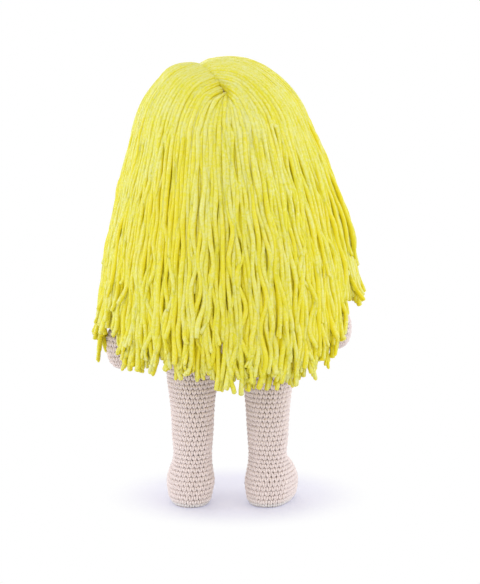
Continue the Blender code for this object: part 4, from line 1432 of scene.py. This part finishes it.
edgingLook = {
    "rows": (0.0013, 0.0031),
    "pitch": 0.0021,
    "halfLength": 0.0015,
    "slant": 0.00035,
    "rise": 0.0002,
    "dip": 0.0007,
    "yarn": 0.00092,
    "relief": 0.72,
    "searchStep": 0.0002,
    "widestGap": 0.004,
    "closest": 0.00035,
}


def makeEdging(look):
    strands = []
    rings = torsoRings(torsoSizes)
    for sign in (1, -1):
        for row, margin in enumerate(look["rows"]):
            here, out = openingEdge(rings, sign, margin, look)
            along = unit(np.roll(here, -1, axis=0) - np.roll(here, 1, axis=0))
            side = np.cross(along, out)
            turn = np.linspace(-1, 1, 6)[:, None]
            for i in range(len(here)):
                path = here[i] + along[i] * turn * look["halfLength"]
                path = path + side[i] * turn * look["slant"] * (-1) ** row
                path = path + out[i] * (look["rise"] - look["dip"] * turn**2)
                strands.append({
                    "path": path, "thick": np.array([0.6, 0.9, 1, 1, 0.9, 0.6]),
                    "alongYarn": np.linspace(0, 0.004, 6),
                })
    piece = strandPiece("legOpeningEdging", strands, look["yarn"], 7, 0, 0.01, crochetFinish)
    # the edging gets high relief, so little painted hole shade falls on it
    markPoints(piece, {"relief": np.full(len(piece.data.vertices), look["relief"])})
    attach(piece, "torso")


makeEdging(edgingLook)


# Face: shiny safety eyes, a small wound nose, a stitched mouth, lashes and brows

faceLook = {
    "eyeTurn": 21,
    "eyeDrop": 7,
    "eyeRadius": 0.0046,
    "eyeHeight": 0.0028,
    "eyeRim": 0.0006,
    "eyeSeat": 0.0002,
    "postRadius": 0.0016,
    "postLength": 0.0075,
    "noseDrop": 15,
    "noseRows": 6,
    "noseHalfTurn": 2.6,
    "noseHalfDrop": 1.9,
    "noseYarn": 0.00085,
    "noseRelief": 0.85,
    "noseBlush": 0.35,
    "mouthDrop": 26,
    "mouthTurn": 7.5,
    "mouthRise": 2.6,
    "mouthYarn": 0.00075,
    "lashTurn": 6.4,
    "lashDrop": 6.0,
    "lashes": ((62, 2.6), (84, 3.0), (104, 2.6)),
    "lashYarn": 0.00042,
    "browDrop": 13.2,
    "browRise": 1.5,
}


def turnedPiece(name, outline, centre, normal, sides=48):
    data = bmesh.new()
    points = [data.verts.new((radius, 0, height)) for radius, height in outline]
    edges = [data.edges.new(pair) for pair in zip(points, points[1:])]
    bmesh.ops.spin(
        data, geom=points + edges, axis=(0, 0, 1), cent=(0, 0, 0), steps=sides, angle=math.tau
    )
    bmesh.ops.remove_doubles(data, verts=data.verts, dist=0.00001)
    bmesh.ops.recalc_face_normals(data, faces=data.faces)
    spin = Vector(normal).to_track_quat("Z", "Y").to_matrix().to_4x4()
    data.transform(Matrix.Translation(Vector(centre)) @ spin)
    mesh = bpy.data.meshes.new(name)
    data.to_mesh(mesh)
    data.free()
    mesh.shade_smooth()
    return linkObject(name, mesh)


def makeEyes(look):
    radius, rim, seat = look["eyeRadius"], look["eyeRim"], look["eyeSeat"]
    post, deep = look["postRadius"], -look["postLength"]
    outline = [(0, deep), (post, deep), (post, seat), (radius * 0.93, seat), (radius, rim)]
    for degrees in range(8, 90, 9):
        bend = math.radians(degrees)
        outline.append((radius * math.cos(bend), rim + look["eyeHeight"] * math.sin(bend)))
    outline.append((0, rim + look["eyeHeight"]))
    for side, sign in (("left", 1), ("right", -1)):
        centre, normal = facePoint(sign * look["eyeTurn"], look["eyeDrop"])
        eye = turnedPiece(f"{side}EyeButton", outline, centre, normal)
        eye.data.materials.append(eyeFinish)
        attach(eye, "torso")
        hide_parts(f"{side}_eye")


def shortStitch(path, thick, length):
    return {"path": path, "thick": thick, "alongYarn": np.linspace(0, length, len(path))}


def faceCurve(turns, drops, lift, thick):
    path = np.array([facePoint(turn, drop, lift)[0] for turn, drop in zip(turns, drops)])
    path, along = evenly(path, 0.0006)
    taper = 0.0012
    places = (0, taper, along[-1] - taper, along[-1])
    width = np.interp(along, places, (thick * 0.55, thick, thick, thick * 0.55))
    return {"path": path, "thick": width, "alongYarn": along}


def makeMouth(look):
    across = np.linspace(-1, 1, 5)
    strands = []
    for low, high in zip(across, across[1:]):
        spots = np.linspace(low - 0.05, high + 0.05, 6)
        lift = 0.0007 + 0.0004 * np.sin(np.linspace(0, math.pi, 6))
        path = np.array([
            facePoint(s * look["mouthTurn"], look["mouthDrop"] - look["mouthRise"] * s * s, l)[0]
            for s, l in zip(spots, lift)
        ])
        strands.append(shortStitch(path, np.array([0.7, 1, 1, 1, 1, 0.7]), 0.004))
    mouth = strandPiece("mouthStitches", strands, look["mouthYarn"], 8, 0, 0.01, lipFinish)
    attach(mouth, "torso")
    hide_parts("mouth")


def makeNose(look):
    strands = []
    spots = np.linspace(-1, 1, 9)
    for row in np.linspace(-1, 1, look["noseRows"]):  # satin stitches side by side over a small pad
        half = look["noseHalfTurn"] * math.sqrt(max(0.15, 1 - row * row * 0.85))
        drop = look["noseDrop"] + row * look["noseHalfDrop"]
        path = np.array([
            facePoint(s * half, drop, 0.0004 + 0.0014 * (1 - s * s) * (1 - 0.4 * row * row))[0]
            for s in spots
        ])
        strands.append(shortStitch(path, 1.0 - 0.35 * np.abs(spots) ** 4, 0.005))
    nose = strandPiece("noseStitches", strands, look["noseYarn"], 8, 0, 0.01, crochetFinish)
    # the nose gets high relief, so little painted hole shade falls on it
    height = np.full(len(nose.data.vertices), look["noseRelief"], dtype=np.float32)
    markPoints(nose, {"relief": height, "blush": height * look["noseBlush"]})
    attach(nose, "torso")
    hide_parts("nose")


def makeLashes(look):
    strands = []
    wide, tall = look["lashTurn"], look["lashDrop"]
    lashLine = [math.radians(degrees) for degrees in range(-75, 100, 12)]
    browLine = np.linspace(-5.5, 6.0, 9)
    for sign in (1, -1):
        turn, drop = sign * look["eyeTurn"], look["eyeDrop"]
        strands.append(faceCurve(  # upper lash line, just outside the eye's rim
            [turn + sign * wide * math.sin(a) for a in lashLine],
            [drop - tall * math.cos(a) for a in lashLine], 0.0006, 1.0,
        ))
        for degrees, reach in look["lashes"]:
            a = math.radians(degrees)
            strands.append(faceCurve(
                [turn + sign * (wide - 0.2 + r) * math.sin(a) for r in (0, reach / 2, reach)],
                [drop - (tall + r) * math.cos(a) - 0.25 * r for r in (0, reach / 2, reach)], 0.0005, 0.75,
            ))
        strands.append(faceCurve(  # brow
            [turn + sign * s for s in browLine],
            [drop - look["browDrop"] - look["browRise"] * (1 - (s / 6) ** 2) for s in browLine], 0.0006, 1.0,
        ))
    lashes = strandPiece("lashesAndBrows", strands, look["lashYarn"], 7, 0, 0.01, lashFinish)
    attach(lashes, "torso")


makeEyes(faceLook)
makeMouth(faceLook)
makeNose(faceLook)
makeLashes(faceLook)
print("face sewn")


# Whip stitches that sew the head to the neck

neckSeamLook = {
    "stitches": 22,
    "radius": 0.0115,
    "bulge": 0.0012,
    "height": 0.1722,
    "halfHeight": 0.0016,
    "slant": 0.10,
    "yarn": 0.0008,
}


def makeNeckSeam(look):
    strands = []
    spots = np.linspace(-1, 1, 7)
    for i in range(look["stitches"]):
        path = []
        for s in spots:
            angle = math.tau * i / look["stitches"] + s * look["slant"]
            out = look["radius"] + look["bulge"] * (1 - s * s)
            lift = look["height"] + s * look["halfHeight"]
            path.append((out * math.sin(angle), out * math.cos(angle) + dollY, lift))
        strands.append(shortStitch(np.array(path), 1 - 0.35 * np.abs(spots) ** 3, 0.004))
    piece = strandPiece("neckStitches", strands, look["yarn"], 7, 0, 0.01, seamFinish)
    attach(piece, "torso")
    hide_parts("neck_seam")


makeNeckSeam(neckSeamLook)
bpy.data.objects.remove(stitchShape)


# The hidden fittings keep their CAD shapes and get their own finishes

fittingFinishes = {
    "hip_thread": seamFinish, "shoulder_thread": seamFinish, "neck_dowel": woodFinish,
    "left_insole": cardFinish, "right_insole": cardFinish,
    "left_eye_washer": clearFinish, "right_eye_washer": clearFinish,
    "left_hip_button": clearFinish, "right_hip_button": clearFinish,
    "left_shoulder_button": clearFinish, "right_shoulder_button": clearFinish,
}
for name, finish in fittingFinishes.items():
    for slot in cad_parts[name].material_slots:
        slot.material = finish


# Floor, light and camera

studioLook = {
    "floorLevel": -0.0002,
    "floorHalf": 3.0,
    "floorLight": (0.80, 0.80, 0.80),
    "floorShadow": (0.56, 0.55, 0.54),
    "floorGlow": (0.22, 0.225, 0.33),
    "white": (1.0, 1.0, 1.0),
    "worldLight": 1.04,
    "lens": 100,
    "sensor": 36,
    "target": (-0.0062, 0.0, 0.1358),
    "distance": 1.006,
    "elevation": 10,
    "shadowMiddle": (-0.004, -0.018, 0.0),
    "shadowShape": (0.88, 1.10, 1.0),
    "shadowReach": (0.038, 0.078),
    "lampAim": (0, 0, 0.13),
    "lamps": (  # name, place, size, power, colour
        ("keyLamp",(0.45, 1.15, 0.95), 1.4, 3.8, (1.0, 0.955, 0.89)),
        ("fillLamp", (-1.05, 0.85, 0.45), 1.2, 2.9, (1.0, 0.965, 0.92)),
        ("farLamp", (0.25, -1.25, 0.75), 1.2, 4.4, (1.0, 1.0, 1.0)),
        ("leftRimLamp", (1.25, 0.05, 0.25), 0.7, 5.2, (0.86, 0.91, 1.0)),
        ("rightRimLamp", (-1.25, -0.10, 0.25), 0.7, 4.0, (0.84, 0.90, 1.0)),
    ),
}


def shownRays(tree):  # 1 for the rays that see the backdrop: the camera's, mirrored and passed ones
    path = addNode(tree, "ShaderNodeLightPath", output="Is Camera Ray")
    shown = path.maths("MAXIMUM", path.other("Is Glossy Ray"))
    return shown.maths("MAXIMUM", path.other("Is Transmission Ray"))


def makeFloor(look):
    mesh = bpy.data.meshes.new("floor")
    half, level = look["floorHalf"], look["floorLevel"]
    corners = [(-half, -half, level), (half, -half, level), (half, half, level), (-half, half, level)]
    mesh.from_pydata(corners, [], [(0, 1, 2, 3)])
    floor = linkObject("floor", mesh)
    material, tree = startFinish("studioFloor")
    plain = addNode(tree, "ShaderNodeBsdfDiffuse", None, {"Color": look["floorLight"]})
    seen = addNode(tree, "ShaderNodeBsdfDiffuse", None, {"Color": look["floorShadow"]})
    glow = addNode(tree, "ShaderNodeEmission", None, {"Color": look["floorGlow"], "Strength": 1.0})
    both = addNode(tree, "ShaderNodeAddShader", None, {0: seen, 1: glow})  # a tinted shadow near the doll
    place = addNode(tree, "ShaderNodeVectorMath", {"operation": "SUBTRACT"}, {
        0: placeOn(tree), 1: look["shadowMiddle"],
    })
    place = addNode(tree, "ShaderNodeVectorMath", {"operation": "MULTIPLY"}, {
        0: place, 1: look["shadowShape"],
    })
    far = addNode(tree, "ShaderNodeVectorMath", {"operation": "LENGTH"}, {0: place}, "Value")
    near, past = look["shadowReach"]
    fade = ((far - near) / (past - near)).held()
    fade = fade * fade * (3 - fade * 2)
    white = addNode(tree, "ShaderNodeEmission", None, {"Color": look["white"], "Strength": 1.0})
    both = addNode(tree, "ShaderNodeMixShader", None, {0: fade, 1: both, 2: white})
    chosen = addNode(tree, "ShaderNodeMixShader", None, {0: shownRays(tree), 1: plain, 2: both})
    addNode(tree, "ShaderNodeOutputMaterial", None, {"Surface": chosen})
    mesh.materials.append(material)


def makeWorld(look):
    world = bpy.data.worlds.new("studio")
    bpy.context.scene.world = world
    world.use_nodes = True
    tree = world.node_tree
    tree.nodes.clear()
    strength = shownRays(tree) * (1 - look["worldLight"]) + look["worldLight"]
    glow = addNode(tree, "ShaderNodeBackground", None, {"Color": look["white"], "Strength": strength})
    addNode(tree, "ShaderNodeOutputWorld", None, {"Surface": glow})


def makeLamps(look):
    for name, place, size, power, colour in look["lamps"]:
        data = bpy.data.lights.new(name, "AREA")
        data.shape = "DISK"
        data.size, data.energy, data.color = size, power, colour
        lamp = linkObject(name, data)
        lamp.location = place
        aim = Vector(look["lampAim"]) - lamp.location
        lamp.rotation_euler = aim.to_track_quat("-Z", "Y").to_euler()


def makeCamera(look):
    data = bpy.data.cameras.new("photoCamera")
    data.lens = look["lens"]
    data.sensor_width = look["sensor"]
    data.clip_start = 0.01
    camera = linkObject("photoCamera", data)
    target = Vector(look["target"])
    rise = math.radians(look["elevation"])
    camera.location = target + look["distance"] * Vector((0, math.cos(rise), math.sin(rise)))
    camera.rotation_euler = (target - camera.location).to_track_quat("-Z", "Y").to_euler()
    bpy.context.scene.camera = camera


makeFloor(studioLook)
makeWorld(studioLook)
makeLamps(studioLook)
makeCamera(studioLook)
bpy.context.scene.view_settings.view_transform = "Standard"
print("studio set")
